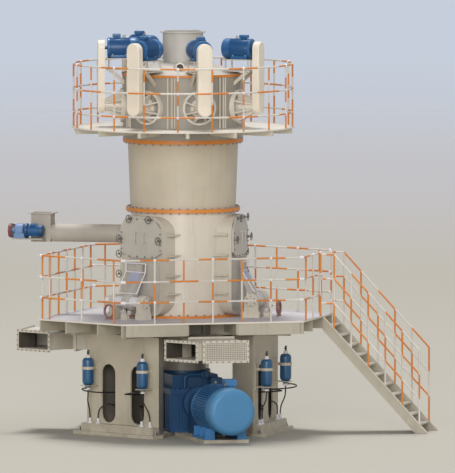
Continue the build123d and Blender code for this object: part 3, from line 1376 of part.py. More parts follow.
def head_motor():
    """Classifier motor: fan cover, finned frame, feet and shaft end into the belt guard."""
    fan_end = HEAD_MOTOR_START + HEAD_MOTOR_FAN
    fan = radial_rod(HEAD_MOTOR_START, HEAD_MOTOR_FAN, HEAD_MOTOR_LEVEL, HEAD_MOTOR_RADIUS)
    rim = fan.edges().filter_by(GeomType.CIRCLE).sort_by(Axis.Y)[-1]
    fan = fan.fillet(HEAD_FAN_EDGE, [rim])
    frame = finned_barrel(HEAD_MOTOR_CORE, HEAD_MOTOR_RADIUS, HEAD_MOTOR_FINS, HEAD_FIN_THICKNESS,
                          fan_end, HEAD_MOTOR_END, HEAD_MOTOR_LEVEL)
    shaft = radial_rod(HEAD_MOTOR_END, BELT_GUARD_REACH - HEAD_MOTOR_END, HEAD_MOTOR_LEVEL, HEAD_SHAFT_RADIUS)
    half = HEAD_FOOT_WIDTH / 2
    feet = block((-half, half), (HEAD_FOOT_INSET - HEAD_MOTOR_END, -fan_end - HEAD_FOOT_INSET),
                 (SLIDE_TOP, SLIDE_TOP + HEAD_FOOT_HEIGHT))
    return fused([frame, fan, shaft, feet, head_motor_box()])


def head_motor_box():
    """Terminal box on a classifier motor, near the belt guard."""
    half = HEAD_BOX_LENGTH / 2
    side = HEAD_BOX_WIDTH / 2
    return block((-side, side), (-HEAD_BOX_PLACE - half, half - HEAD_BOX_PLACE), (HEAD_MOTOR_LEVEL, HEAD_BOX_TOP))


def motor_slide():
    """Slide plate under a classifier motor on four adjusting studs."""
    half = SLIDE_WIDTH / 2
    bottom = SLIDE_TOP - SLIDE_PLATE
    plate = block((-half, half), (-SLIDE_END, -SLIDE_START), (bottom, SLIDE_TOP))
    studs = []
    for x in (STUD_INSET - half, half - STUD_INSET):
        for reach in (SLIDE_START + STUD_INSET, SLIDE_END - STUD_INSET):
            studs.append(rod((x, -reach, PLATFORM_LEVEL), (x, -reach, bottom), STUD_RADIUS))
    return fused([plate] + studs)


def drive_bracket():
    """Platform under a drive with two struts down to the classifier wall."""
    half = SLIDE_WIDTH / 2
    bottom = PLATFORM_LEVEL - PLATFORM_PLATE
    plate = block((-half, half), (-SLIDE_END, -PLATFORM_START), (bottom, PLATFORM_LEVEL))
    struts = [
        bar((x, -CLASSIFIER_RADIUS + STRUT_DEPTH, STRUT_FOOT_LEVEL), (x, STRUT_DEPTH - SLIDE_END, bottom),
            STRUT_WIDTH, STRUT_DEPTH)
        for x in (-STRUT_OFFSET, STRUT_OFFSET)
    ]
    solid = fused([plate] + struts)
    solid -= drum(CLASSIFIER_RADIUS, 0, CLASSIFIER_TOP - TOP_RING_HEIGHT)
    solid -= drum(TOP_RING_RADIUS, CLASSIFIER_TOP - TOP_RING_HEIGHT, CLASSIFIER_TOP)
    cone = Pos(0, 0, CLASSIFIER_TOP) * Cone(CLASSIFIER_RADIUS, LID_TOP_RADIUS, LID_HEIGHT, align=UPRIGHT)
    solid -= cone
    solid -= block((-SLIDE_WIDTH, SLIDE_WIDTH), (-SLIDE_END, 0), (PLATFORM_LEVEL, LID_TOP))
    return solid


def build_ground_works():
    """Base frame, pedestals, hydraulics, gearbox and main drive."""
    save("base_frame", base_frame())
    for number, angle in enumerate(ROLLER_ANGLES, start=1):
        save(f"pedestal_{number}", turned(pedestal(), angle))
        save(f"hydraulic_hoses_{number}", *[turned(tube, angle) for tube in hose_set()])
    pairs = [(side, angle) for angle in ROLLER_ANGLES for side in (-1, 1)]
    save("accumulators", *[turned(bottle(side), angle) for side, angle in pairs])
    save("accumulator_brackets", *[turned(bottle_bracket(side), angle) for side, angle in pairs])
    places = [side * reach for side in (-1, 1) for reach in (FITTING_OUTER, FITTING_INNER)]
    save("hose_fittings", *[turned(hose_fitting(x), angle) for angle in ROLLER_ANGLES for x in places])
    sockets = [hose_socket(side, level) for side in (-1, 1) for level in SOCKET_LEVELS]
    save("hose_sockets", *[turned(socket, angle) for angle in ROLLER_ANGLES for socket in sockets])
    save("gearbox_case", gearbox_case())
    save("gearbox_cover", gearbox_cover())
    save("table_hub", table_hub())
    save("oil_pipe", oil_pipe())
    save("coupling_guard", turned(coupling_guard(), DRIVE_ANGLE))
    save("main_motor", main_motor())
    save("motor_fan_cover", fan_cover())


def build_decks():
    """Gas ring and ducts, lower deck with its railings and stair, and the upper deck."""
    save("gas_ring", gas_ring())
    save("duct_necks", duct_neck(), across_mill(duct_neck()))
    save("inlet_duct_right", inlet_duct())
    save("inlet_duct_left", across_mill(inlet_duct()))
    save("duct_screens", duct_screen(), across_mill(duct_screen()))
    save("lower_deck", lower_deck())
    save("deck_beams", *deck_beams())
    save("deck_fascia", *deck_fascia())
    save("lower_railings", *lower_railings())
    save("stair_stringers", *stair_stringers())
    save("stair_treads", *stair_treads())
    save("stair_railings", *[stair_railing(span) for span in stair_sides()])
    save("upper_deck", upper_deck())
    save("upper_deck_arms", *upper_deck_arms())
    save("upper_railing", *upper_railing())


def build_tower():
    """Mill shell with its rings, windows and rockers, and the screw feeder."""
    save("mill_shell", drum(SHELL_RADIUS, DECK_BOTTOM, SHELL_TOP))
    bottom_ring = ring(BOTTOM_RING_RADIUS, SHELL_RADIUS + FIT_GAP, DECK_TOP, BOTTOM_RING_TOP)
    middle_ring = drum(MIDDLE_RING_RADIUS, SHELL_TOP, MIDDLE_RING_TOP)
    upper_ring = drum(UPPER_RING_RADIUS, CONE_TOP, UPPER_RING_TOP)
    top_ring = drum(TOP_RING_RADIUS, CLASSIFIER_TOP - TOP_RING_HEIGHT, CLASSIFIER_TOP)
    save("flange_rings", bottom_ring, middle_ring, upper_ring, top_ring)
    save("cone_shell", cone_shell())
    stations = list(zip(ROLLER_ANGLES, OUTER_SIDES))
    save("window_frames", *[turned(window_frame(), angle) for angle in ROLLER_ANGLES])
    save("inspection_doors", *[turned(inspection_door(), angle) for angle in ROLLER_ANGLES])
    save("window_panels", *[turned(lower_panel(), angle) for angle in ROLLER_ANGLES])
    save("clamp_handwheels", *[turned(wheel, angle) for angle, outer in stations for wheel in handwheels(outer)])
    save("rocker_shafts", *[turned(rocker_shaft(outer), angle) for angle, outer in stations])
    save("rocker_bearings", *[turned(rocker_bearing(side), angle) for angle in ROLLER_ANGLES for side in (-1, 1)])
    save("rocker_arms", *[turned(rocker_arm(outer), angle) for angle, outer in stations])
    save("stop_rings", *[turned(stop_ring(outer), angle) for angle, outer in stations])
    save("feed_tube", feed_tube())
    save("feed_box", feed_box())
    save("feed_base", feed_base())
    save("feed_drive", feed_drive())
    save("chain_guard", chain_guard())


def build_classifier():
    """Classifier housing, lid, outlet and the six drives around them."""
    fitted, blank = head_angles()
    save("classifier_housing", classifier_housing())
    save("lid", lid())
    save("outlet_pipe", outlet_pipe())
    save("blank_port", turned(wall_disc(BLANK_REACH), blank))
    for name, maker in (
        ("bearing_cones", bearing_cone), ("belt_guards", belt_guard), ("classifier_motors", head_motor),
        ("motor_slides", motor_slide), ("drive_brackets", drive_bracket),
    ):
        piece = maker()
        save(name, *[turned(piece, angle) for angle in fitted])


os.makedirs("parts", exist_ok=True)
build_ground_works()
build_decks()
build_tower()
build_classifier()
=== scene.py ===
"""Vertical roller mill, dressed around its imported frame. Metres, +Z up, the mill axis through the origin.

A station is named by its angle: its outward direction is (sin angle, -cos angle) and its
across direction is (cos angle, sin angle).
"""

import math

import bmesh
import bpy
import numpy as np
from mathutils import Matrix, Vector


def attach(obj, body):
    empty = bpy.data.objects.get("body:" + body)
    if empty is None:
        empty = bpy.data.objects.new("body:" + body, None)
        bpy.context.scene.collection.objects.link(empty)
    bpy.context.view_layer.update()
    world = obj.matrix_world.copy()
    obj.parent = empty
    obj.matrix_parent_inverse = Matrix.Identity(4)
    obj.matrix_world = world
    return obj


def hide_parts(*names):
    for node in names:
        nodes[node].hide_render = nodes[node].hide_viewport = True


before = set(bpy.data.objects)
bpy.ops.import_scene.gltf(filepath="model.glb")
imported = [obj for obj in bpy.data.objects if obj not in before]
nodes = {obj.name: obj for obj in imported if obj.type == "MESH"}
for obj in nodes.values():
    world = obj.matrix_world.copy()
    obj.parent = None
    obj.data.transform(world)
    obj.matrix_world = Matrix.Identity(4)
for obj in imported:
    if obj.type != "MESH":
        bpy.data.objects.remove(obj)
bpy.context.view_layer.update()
scene = bpy.context.scene

# Camera: level with the lower courses, far away, so that parallel lines stay parallel.
AIM = Vector((0.5806, 0.5705, 3.5685))
VIEW_DISTANCE = 300.0
VIEW_HEIGHT = 8.656
azimuth, elevation = math.radians(44.5), math.radians(3.8)
toward_camera = Vector((math.sin(azimuth) * math.cos(elevation),
                        -math.cos(azimuth) * math.cos(elevation), math.sin(elevation)))
camera_data = bpy.data.cameras.new("mill_camera")
camera_data.sensor_fit = "VERTICAL"
camera_data.sensor_height = 36.0
camera_data.lens = 36.0 * VIEW_DISTANCE / VIEW_HEIGHT
camera_data.clip_end = 1000.0
camera = bpy.data.objects.new("mill_camera", camera_data)
camera.location = AIM + toward_camera * VIEW_DISTANCE
camera.rotation_euler = toward_camera.to_track_quat("Z", "Y").to_euler()
scene.collection.objects.link(camera)
scene.camera = camera


UP = (0.0, 0.0, 1.0)


def directions(angle):
    """Across, outward and up directions of the station at an angle, in degrees."""
    turn = math.radians(angle)
    across = np.array((math.cos(turn), math.sin(turn), 0.0))
    outward = np.array((math.sin(turn), -math.cos(turn), 0.0))
    return across, outward, np.array(UP)


def place(angle, across, out, up):
    """Points of a station from its across, outward and up measures, which may be arrays."""
    a, o, u = directions(angle)
    across, out, up = np.broadcast_arrays(*(np.asarray(v, float) for v in (across, out, up)))
    return across[..., None] * a + out[..., None] * o + up[..., None] * u


# Hydraulic hoses: each route's control points as across, out from the mill axis and up.
PEDESTAL_FACE = 1.560
ROLLERS = (0, 120, -120)
HOSE_ROUTES = {
    "drop": ((0.700, 0.200, 0.815), (0.700, 0.200, 0.715), (0.736, 0.178, 0.600), (0.770, 0.080, 0.425),
             (0.770, 0.080, 0.295)),
    "rise": ((0.560, 0.080, 0.295), (0.560, 0.080, 0.406), (0.490, 0.082, 0.500), (0.410, 0.014, 0.556),
             (0.370, -0.102, 0.558), (0.370, -0.210, 0.480), (0.370, -0.330, 0.480)),
    "loop": ((0.700, 0.250, 0.850), (0.700, 0.325, 0.850), (0.650, 0.412, 0.838), (0.552, 0.450, 0.820),
             (0.448, 0.412, 0.805), (0.384, 0.312, 0.792), (0.370, 0.182, 0.780), (0.370, 0.030, 0.772),
             (0.370, -0.150, 0.770), (0.370, -0.330, 0.770)),
}
HOSE_DIAMETER = 0.024


def hose(name, points):
    """A hose on one open second-order spline whose control points are the route's points."""
    curve = bpy.data.curves.new(name, "CURVE")
    curve.dimensions = "3D"
    curve.bevel_depth = 1.0
    curve.bevel_resolution = 4
    curve.use_fill_caps = True
    spline = curve.splines.new("NURBS")
    spline.points.add(len(points) - 1)
    spline.points.foreach_set("co", np.column_stack([points, np.ones(len(points))]).ravel())
    spline.points.foreach_set("radius", np.full(len(points), HOSE_DIAMETER / 2))
    spline.order_u = 3
    spline.use_endpoint_u = True
    spline.resolution_u = 12
    piece = bpy.data.objects.new(name, curve)
    scene.collection.objects.link(piece)
    return piece


hoses = []
for number, angle in enumerate(ROLLERS, 1):
    for side, label in ((-1, "left"), (1, "right")):
        for route, spots in HOSE_ROUTES.items():
            spots = np.array(spots)
            line = place(angle, side * spots[:, 0], PEDESTAL_FACE + spots[:, 1], spots[:, 2])
            piece = hose(f"hose_{number}_{label}_{route}", line)
            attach(piece, "root")
            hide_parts(f"hydraulic_hoses_{number}")
            hoses.append(piece)


# Shader building


def linear(red, green, blue):
    """Linear colour of an sRGB colour given in 0 to 255."""
    value = np.array((red, green, blue)) / 255.0
    value = np.where(value <= 0.04045, value / 12.92, ((value + 0.055) / 1.055) ** 2.4)
    return (*value.tolist(), 1.0)


def node(tree, kind, inputs=None, **settings):
    """A shader node with its settings, its inputs linked where a socket is given and set where a value is."""
    made = tree.nodes.new(kind)
    for key, value in settings.items():
        setattr(made, key, value)
    for key, value in (inputs or {}).items():
        if isinstance(value, bpy.types.NodeSocket):
            tree.links.new(value, made.inputs[key])
        else:
            made.inputs[key].default_value = value
    return made


def maths(tree, operation, a, b=0.0):
    """One arithmetic step on two values."""
    return node(tree, "ShaderNodeMath", {0: a, 1: b}, operation=operation).outputs[0]


def blend(tree, factor, a, b):
    """Colour a towards colour b by a factor."""
    return node(tree, "ShaderNodeMix", {0: factor, 6: a, 7: b}, data_type="RGBA").outputs[2]


def ease(tree, value, low, high):
    """Smooth step of a value from 0 at low to 1 at high."""
    return node(tree, "ShaderNodeMapRange", {"Value": value, "From Min": low, "From Max": high},
                interpolation_type="SMOOTHSTEP").outputs[0]


def noise(tree, vector, scale, detail=4.0, rough=0.55):
    """Fractal noise value at a scale."""
    return node(tree, "ShaderNodeTexNoise", {"Vector": vector, "Scale": scale, "Detail": detail,
                                             "Roughness": rough}).outputs[0]


def split(tree, vector):
    """The three parts of a vector."""
    return node(tree, "ShaderNodeSeparateXYZ", {0: vector}).outputs


def looking_up(tree):
    """How far a face looks up: the upward part of its normal."""
    return split(tree, node(tree, "ShaderNodeNewGeometry").outputs["Normal"])[2]


def product(tree, *values):
    """Several values multiplied together."""
    result = values[0]
    for value in values[1:]:
        result = maths(tree, "MULTIPLY", result, value)
    return result


def new_group(name, inputs, outputs):
    """An empty shader group with its named inputs and outputs, and the two nodes that hold them."""
    tree = bpy.data.node_groups.new(name, "ShaderNodeTree")
    for label, kind in inputs:
        tree.interface.new_socket(label, in_out="INPUT", socket_type=kind)
    for label, kind in outputs:
        tree.interface.new_socket(label, in_out="OUTPUT", socket_type=kind)
    return tree, tree.nodes.new("NodeGroupInput"), tree.nodes.new("NodeGroupOutput")


COLOUR, VALUE = "NodeSocketColor", "NodeSocketFloat"


def make_weathering():
    """Paint that has stood in a plant: cloudy tone, runs down upright faces, dust on level ones, dirt near the
    ground. Noise in object coordinates drives each, weighed by how far a face looks up."""
    tree, given, out = new_group(
        "weathering",
        (("Paint", COLOUR), ("Shade", COLOUR), ("Stain", COLOUR), ("Dust", COLOUR), ("Cloud", VALUE),
         ("Runs", VALUE), ("Dusting", VALUE), ("Gloss", VALUE)),
        (("Colour", COLOUR), ("Roughness", VALUE), ("Height", VALUE)))
    spot = node(tree, "ShaderNodeTexCoord").outputs["Object"]
    facing = looking_up(tree)
    level = split(tree, spot)[2]
    cloud = noise(tree, spot, 1.1)
    grain = noise(tree, spot, 46.0, 3.0)
    tall = node(tree, "ShaderNodeMapping", {"Vector": spot, "Scale": (6.0, 6.0, 0.32)}).outputs[0]
    run = ease(tree, noise(tree, tall, 2.4, 5.0, 0.62), 0.53, 0.78)
    upright = maths(tree, "SUBTRACT", 1.0, maths(tree, "ABSOLUTE", facing))
    run = product(tree, run, upright, given.outputs["Runs"])
    tone = product(tree, ease(tree, cloud, 0.36, 0.66), given.outputs["Cloud"])
    colour = blend(tree, tone, given.outputs["Paint"], given.outputs["Shade"])
    colour = blend(tree, run, colour, given.outputs["Stain"])
    splash = product(tree, ease(tree, level, 0.75, 0.0), ease(tree, noise(tree, spot, 5.0), 0.40, 0.72),
                     given.outputs["Runs"])
    colour = blend(tree, splash, colour, given.outputs["Stain"])
    settled = product(tree, ease(tree, facing, 0.45, 0.96), ease(tree, noise(tree, spot, 3.2), 0.25, 0.72),
                      given.outputs["Dusting"])
    colour = blend(tree, settled, colour, given.outputs["Dust"])
    fleck = product(tree, ease(tree, grain, 0.60, 0.80), 0.10)
    colour = blend(tree, fleck, colour, given.outputs["Stain"])
    rough = maths(tree, "ADD", given.outputs["Gloss"], product(tree, cloud, 0.10))
    rough = maths(tree, "ADD", rough, product(tree, settled, 0.30))
    bump = maths(tree, "ADD", product(tree, grain, 0.6), product(tree, cloud, 0.8))
    tree.links.new(colour, out.inputs["Colour"])
    tree.links.new(rough, out.inputs["Roughness"])
    tree.links.new(bump, out.inputs["Height"])
    return tree


weathering = make_weathering()
CLOUDING = 0.7
LOZENGE_WAVE = 95.0


def paint(name, colour, shade, stain=(112, 98, 80), dust=(205, 199, 188), runs=0.35, dusting=0.5,
          gloss=0.30, coat=0.0, metallic=0.0, bump=0.05, tint=None):
    """A paint material: the weathering group's colour, roughness and height on one shader. tint is a function that
    changes the colour further, given the tree and the colour."""
    made = bpy.data.materials.new(name)
    made.use_nodes = True
    tree = made.node_tree
    shader = tree.nodes["Principled BSDF"]
    wear = tree.nodes.new("ShaderNodeGroup")
    wear.node_tree = weathering
    values = {"Paint": linear(*colour), "Shade": linear(*shade), "Stain": linear(*stain), "Dust": linear(*dust),
              "Cloud": CLOUDING, "Runs": runs, "Dusting": dusting, "Gloss": gloss}
    for key, value in values.items():
        wear.inputs[key].default_value = value
    result = wear.outputs["Colour"]
    if tint:
        result = tint(tree, result)
    tree.links.new(result, shader.inputs["Base Color"])
    tree.links.new(wear.outputs["Roughness"], shader.inputs["Roughness"])
    relief = node(tree, "ShaderNodeBump", {"Height": wear.outputs["Height"], "Strength": bump, "Distance": 0.01})
    tree.links.new(relief.outputs[0], shader.inputs["Normal"])
    shader.inputs["Metallic"].default_value = metallic
    if coat:
        shader.inputs["Coat Weight"].default_value = coat
        shader.inputs["Coat Roughness"].default_value = 0.12
    return made


def tread_plate(tree, colour):
    """Faint raised lozenges over walking plate, a fine wave crossed with another as a lighter tone, and cream paint
    on the faces that don't look up."""
    x, y, _ = split(tree, node(tree, "ShaderNodeTexCoord").outputs["Object"])
    one, two = (maths(tree, "SINE", product(tree, maths(tree, how, x, y), LOZENGE_WAVE))
                for how in ("ADD", "SUBTRACT"))
    lozenge = product(tree, ease(tree, product(tree, one, two), 0.35, 0.75), 0.30)
    plate = blend(tree, lozenge, colour, linear(216, 212, 216))
    facing = looking_up(tree)
    return blend(tree, ease(tree, facing, 0.3, 0.7), linear(226, 219, 207), plate)


finish = {
    "shell": paint("shell_paint", (219, 210, 195), (208, 198, 182), runs=0.14, gloss=0.24, coat=0.45),
    "outlet": paint("outlet_paint", (199, 194, 186), (187, 182, 172), runs=0.14, gloss=0.44),
    # Grey paint, partly its own colour and partly darkened as painted shade of the classifier wall.
    "wall": paint("classifier_wall_grey_shaded_paint", (162, 157, 146), (147, 142, 131), runs=0.20, gloss=0.36),
    "window": paint("window_frame_paint", (206, 199, 185), (190, 182, 166), runs=0.18, gloss=0.34),
    "tube": paint("feed_tube_paint", (180, 173, 163), (167, 159, 148), runs=0.15, gloss=0.52),
    "cone": paint("cone_paint", (201, 191, 172), (190, 180, 160), runs=0.18, gloss=0.40),
    "base": paint("base_paint", (198, 189, 170), (182, 172, 152), runs=0.30, gloss=0.40),
    # Painted shade: the cream darkened for the beams, fascia and stringers, which sit in the deck's shadow.
    "beam": paint("under_deck_shaded_paint", (188, 181, 165), (172, 164, 147), runs=0.25, gloss=0.40),
    # Painted shade: dark brown standing for the shade in the hollow pedestals behind their slots.
    "painted_shade_brown": paint("pedestal_painted_shade", (84, 77, 66), (66, 60, 51), stain=(44, 40, 34), dust=(110, 103, 92), runs=0.4,
                    gloss=0.62),
    "frame": paint("frame_paint", (212, 205, 191), (196, 188, 171), runs=0.22, gloss=0.38),
    "bright": paint("bearing_cone_paint", (230, 224, 213), (216, 209, 196), runs=0.15, gloss=0.34),
    "door": paint("door_paint", (196, 191, 181), (182, 176, 165), runs=0.16, gloss=0.34, coat=0.15),
    "guard": paint("guard_paint", (246, 237, 220), (237, 227, 208), runs=0.10, gloss=0.34, coat=0.15),
    "orange": paint("orange_paint", (220, 138, 58), (203, 121, 46), stain=(124, 70, 30), dust=(216, 168, 118),
                    runs=0.22, dusting=0.25, gloss=0.34),
    "deck": paint("deck_paint", (200, 195, 199), (184, 179, 185), dust=(206, 203, 203), runs=0.1, gloss=0.46,
                  tint=tread_plate),
    "rail_white": paint("rail_white_paint", (222, 217, 209), (206, 200, 190), runs=0.2, dusting=0.2, gloss=0.32),
    "rail_orange": paint("rail_orange_paint", (222, 138, 54), (204, 118, 42), stain=(132, 68, 28),
                         dust=(214, 158, 106), runs=0.25, dusting=0.2, gloss=0.32),
    "joint": paint("joint_paint", (240, 234, 238), (226, 220, 228), runs=0.1, dusting=0.1, gloss=0.24),
    "motor": paint("motor_paint", (66, 130, 184), (54, 114, 166), stain=(28, 62, 92), dust=(112, 150, 182), runs=0.2,
                   dusting=0.35, gloss=0.38, coat=0.15),
    "fan": paint("fan_cover_paint", (73, 133, 177), (66, 124, 168), stain=(36, 76, 110), dust=(116, 160, 194),
                 runs=0.12, dusting=0.3, gloss=0.42),
    # Navy paint, partly its own colour and partly darkened as painted shade of the gearbox under the deck; the feed
    # drive, oil pump and joint bolts share it.
    "gearbox": paint("gearbox_navy_shaded_paint", (27, 74, 117), (22, 64, 104), stain=(16, 42, 66), dust=(70, 114, 150),
                     runs=0.3, dusting=0.35, gloss=0.38),
    "drive": paint("drive_motor_paint", (42, 100, 154), (35, 86, 136), stain=(20, 44, 70), dust=(82, 124, 164),
                   runs=0.2, dusting=0.3, gloss=0.34, coat=0.2),
    "bottle": paint("bottle_paint", (35, 88, 130), (31, 78, 117), stain=(22, 52, 80), dust=(92, 136, 172),
                    runs=0.2, dusting=0.3, gloss=0.30, coat=0.3),
    "gear_case": paint("gear_case_paint", (116, 146, 190), (100, 130, 174), stain=(50, 70, 98), dust=(150, 172, 202),
                       runs=0.2, dusting=0.3, gloss=0.36),
    "white": paint("fitting_white_paint", (234, 231, 236), (216, 212, 220), runs=0.15, dusting=0.15, gloss=0.26),
    "arm": paint("rocker_arm_paint", (196, 191, 184), (180, 174, 166), runs=0.2, gloss=0.36),
    "lilac": paint("arm_plate_paint", (176, 178, 202), (160, 162, 188), runs=0.12, gloss=0.30, coat=0.2),
    "red": paint("stop_hoop_paint", (150, 112, 108), (128, 90, 88), stain=(78, 46, 44), dust=(176, 150, 144),
                 runs=0.2, gloss=0.40),
    "hoop": paint("chain_guard_paint", (128, 62, 66), (106, 48, 54), stain=(64, 34, 34), dust=(150, 110, 108),
                  runs=0.2, gloss=0.38),
    "steel": paint("bare_steel", (150, 148, 146), (122, 120, 118), runs=0.2, dusting=0.2, gloss=0.34, metallic=0.85),
    "dark": paint("dark_metal", (66, 63, 61), (50, 47, 46), stain=(32, 30, 28), dust=(98, 94, 90), runs=0.2,
                  dusting=0.3, gloss=0.42, metallic=0.3),
    "wheel": paint("handwheel_paint", (112, 107, 100), (92, 88, 82), stain=(44, 40, 36), dust=(124, 119, 112),
                   runs=0.2, dusting=0.3, gloss=0.40),
    # Painted shade: a dark grey standing for the shade deep inside the duct mouths, the outlet bore, the lid stub and
    # behind the screens.
    "soot": paint("duct_mouth_painted_shade", (88, 82, 75), (70, 65, 59), stain=(48, 44, 40), dust=(132, 126, 116), runs=0.4,
                  gloss=0.60),
    "screen": paint("screen_paint", (200, 193, 179), (186, 178, 164), runs=0.1, gloss=0.44),
    "rubber": paint("hose_rubber", (34, 32, 32), (26, 25, 25), stain=(54, 49, 44), dust=(92, 88, 82), runs=0.4,
                    dusting=0.5, gloss=0.42, bump=0.12),
}
for piece in hoses:
    piece.data.materials.append(finish["rubber"])


# Surfaces


def across_axes(axis):
    """Two directions square to each axis of an array, so that first x second = axis."""
    axis = axis / np.linalg.norm(axis, axis=-1, keepdims=True)
    helper = np.where(np.abs(axis[..., 2:]) < 0.9, (0.0, 0.0, 1.0), (1.0, 0.0, 0.0))
    first = np.cross(helper, axis)
    first /= np.linalg.norm(first, axis=-1, keepdims=True)
    return axis, first, np.cross(axis, first)


def add_piece(name, points, faces, finish_name, replaces=None, sharp=38.0, turn_out=False, weld=False):
    """One piece from its points and faces, riding on the mill. weld joins points that meet, and turn_out turns the
    faces of a closed shape outwards where its grid may run either way."""
    mesh = bpy.data.meshes.new(name)
    mesh.from_pydata(points.reshape(-1, 3).tolist(), [], faces)
    if turn_out or weld:
        shape = bmesh.new()
        shape.from_mesh(mesh)
        if weld:
            bmesh.ops.remove_doubles(shape, verts=shape.verts, dist=0.00002)
        bmesh.ops.recalc_face_normals(shape, faces=shape.faces)
        shape.to_mesh(mesh)
        shape.free()
    mesh.shade_smooth()
    mesh.set_sharp_from_angle(angle=math.radians(sharp))
    mesh.materials.append(finish[finish_name])
    piece = bpy.data.objects.new(name, mesh)
    scene.collection.objects.link(piece)
    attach(piece, "root")
    if replaces:
        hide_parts(replaces)
    return piece


def skin(name, grids, finish_name, slot, replaces=None, ring=False, sharp=38.0, turn_out=False):
    """One piece from a stack of grids shaped (copies, along, round, 3): a quad joins each point to its neighbours
    along and round, the round direction closes on itself, and the two ends are capped unless ring closes them on
    each other."""
    copies, along, around, _ = grids.shape
    index = np.arange(copies * along * around).reshape(copies, along, around)
    beside = np.roll(index, -1, axis=2)
    if ring:
        after, beside_after = np.roll(index, -1, axis=1), np.roll(beside, -1, axis=1)
        faces = np.stack([index, beside, beside_after, after], axis=-1).reshape(-1, 4).tolist()
    else:
        quads = np.stack([index[:, :-1], beside[:, :-1], beside[:, 1:], index[:, 1:]], axis=-1).reshape(-1, 4)
        faces = quads.tolist() + index[:, 0, ::-1].tolist() + index[:, -1].tolist()
    return add_piece(name, grids, faces, finish_name, replaces, sharp, turn_out)


def turned_grid(profile, centres, axes, sides):
    """A profile of (radius, height) points spun about each axis: centre + height * axis + radius * (cos first + sin
    second), the profile running along and the spin running round."""
    profile = np.asarray(profile, float)
    centres = np.atleast_2d(np.asarray(centres, float))
    axis, first, second = across_axes(np.broadcast_to(np.asarray(axes, float), centres.shape))
    spin = np.arange(sides) * 2 * np.pi / sides
    rim = first[:, None] * np.cos(spin)[None, :, None] + second[:, None] * np.sin(spin)[None, :, None]
    return (centres[:, None, None] + profile[None, :, 1, None, None] * axis[:, None, None]
            + profile[None, :, 0, None, None] * rim[:, None])


def run_grid(starts, ends, radius, sides=12):
    """A circle carried along straight lines: start to end, the line running along and the circle running round."""
    starts, ends = np.atleast_2d(starts).astype(float), np.atleast_2d(ends).astype(float)
    _, first, second = across_axes(ends - starts)
    spin = np.arange(sides) * 2 * np.pi / sides
    rim = first[:, None] * np.cos(spin)[None, :, None] + second[:, None] * np.sin(spin)[None, :, None]
    return np.stack([starts, ends], axis=1)[:, :, None] + radius * rim[:, None]


def arc_grid(reach, level, begin, finish_angle, radius, sides=12, steps=9):
    """A circle carried along level arcs about the mill axis: (reach + radius cos) outward at each bearing, level +
    radius sin up. begin and finish_angle are arrays of degrees, level an array."""
    share = np.linspace(0.0, 1.0, steps)
    begin, finish_angle = np.atleast_1d(begin).astype(float), np.atleast_1d(finish_angle).astype(float)
    bearing = np.radians(begin[:, None] + (finish_angle - begin)[:, None] * share)[:, :, None]
    spin = (np.arange(sides) * 2 * np.pi / sides)[None, None, :]
    out = reach + radius * np.cos(spin)
    up = np.atleast_1d(level)[:, None, None] - radius * np.sin(spin)
    return np.stack(np.broadcast_arrays(np.sin(bearing) * out, -np.cos(bearing) * out, up + 0 * bearing), axis=-1)


def ball(radius, steps=7):
    """Profile of a ball about its centre, from pole to pole, with tiny flats at the poles."""
    lift = np.linspace(-np.pi / 2 * 0.96, np.pi / 2 * 0.96, steps)
    return np.column_stack([radius * np.cos(lift), radius * np.sin(lift)])


def hex_head(width, height):
    """Profile of a bolt head on a washer: washer, flank, chamfer and top."""
    return ((0.72 * width, 0.0), (0.72 * width, 0.16 * height), (0.5 * width, 0.16 * height),
            (0.5 * width, 0.85 * height), (0.40 * width, height))


def turned(name, profile, centres, axes, sides, *look, **options):
    """One piece of a profile spun about each axis; look is its finish, slot (not used) and replaced node."""
    return skin(name, turned_grid(profile, centres, axes, sides), *look, **options)


def rods(name, starts, ends, radius, sides, *look):
    """One piece of round bars from starts to ends; look is its finish, slot (not used) and replaced node."""
    return skin(name, run_grid(starts, ends, radius, sides), *look)


def bolts(name, spots, axes, width, height, finish_name="steel", slot="steel"):
    """One piece of hexagon bolt heads at the given spots."""
    return turned(name, hex_head(width, height), spots, axes, 6, finish_name, slot, sharp=20.0)


def round_axis(bearings, reach, level):
    """Points round the mill axis at bearings in degrees."""
    turn = np.radians(bearings)
    return np.column_stack([np.sin(turn) * reach, -np.cos(turn) * reach, np.full(len(turn), level)])


def border(run, rise, half, low, high):
    """Points along the four sides of a frame: run along its low and high sides, rise along the two at half."""
    ends = np.full(len(rise), half)
    return (np.concatenate([run, run, -ends, ends]),
            np.concatenate([np.full(len(run), low), np.full(len(run), high), rise, rise]))


# Railings: tubes in white and orange pieces with ball joints.

RAIL_RADIUS = 0.017
JOINT_RADIUS = 0.031
WHITE, ORANGE = 0, 1
rail_pieces = {WHITE: [], ORANGE: []}
rail_arcs = {WHITE: [], ORANGE: []}
rail_joints = []


def stripe(start, end, bounds, first):
    """Cut a line at the given shares and give its pieces the two colours by turns, beginning with first."""
    start, end = np.asarray(start, float), np.asarray(end, float)
    cuts = np.concatenate([[0.0], np.asarray(bounds, float), [1.0]])
    spots = start + cuts[:, None] * (end - start)
    for number in range(len(cuts) - 1):
        rail_pieces[(first + number) % 2].append((spots[number], spots[number + 1]))


DECK_TOP = 2.130
LEVELS = np.array((0.384, 0.760, 1.153))
DECK_REACH, DECK_LONG, DECK_SHORT, DECK_EVEN = 2.525, 1.220, 0.950, 1.060
RAIL_INSET, RAIL_END = 0.035, 0.045
STAIR_START = 0.450


def deck_corners():
    """Corners of the lower deck, two for each roller, from the first roller round."""
    spans = ((0, -DECK_LONG, DECK_SHORT), (120, -DECK_SHORT, DECK_LONG), (-120, -DECK_EVEN, DECK_EVEN))
    return np.concatenate([place(angle, [low, high], DECK_REACH, DECK_TOP) for angle, low, high in spans])


def edge_line(start, end, along, up):
    """Points along a deck edge, set in from it by the railing inset."""
    run = (end - start) / np.linalg.norm(end - start)
    inward = np.cross(UP, run)
    return start + np.asarray(along)[..., None] * run + RAIL_INSET * inward + np.asarray(up)[..., None] * UP


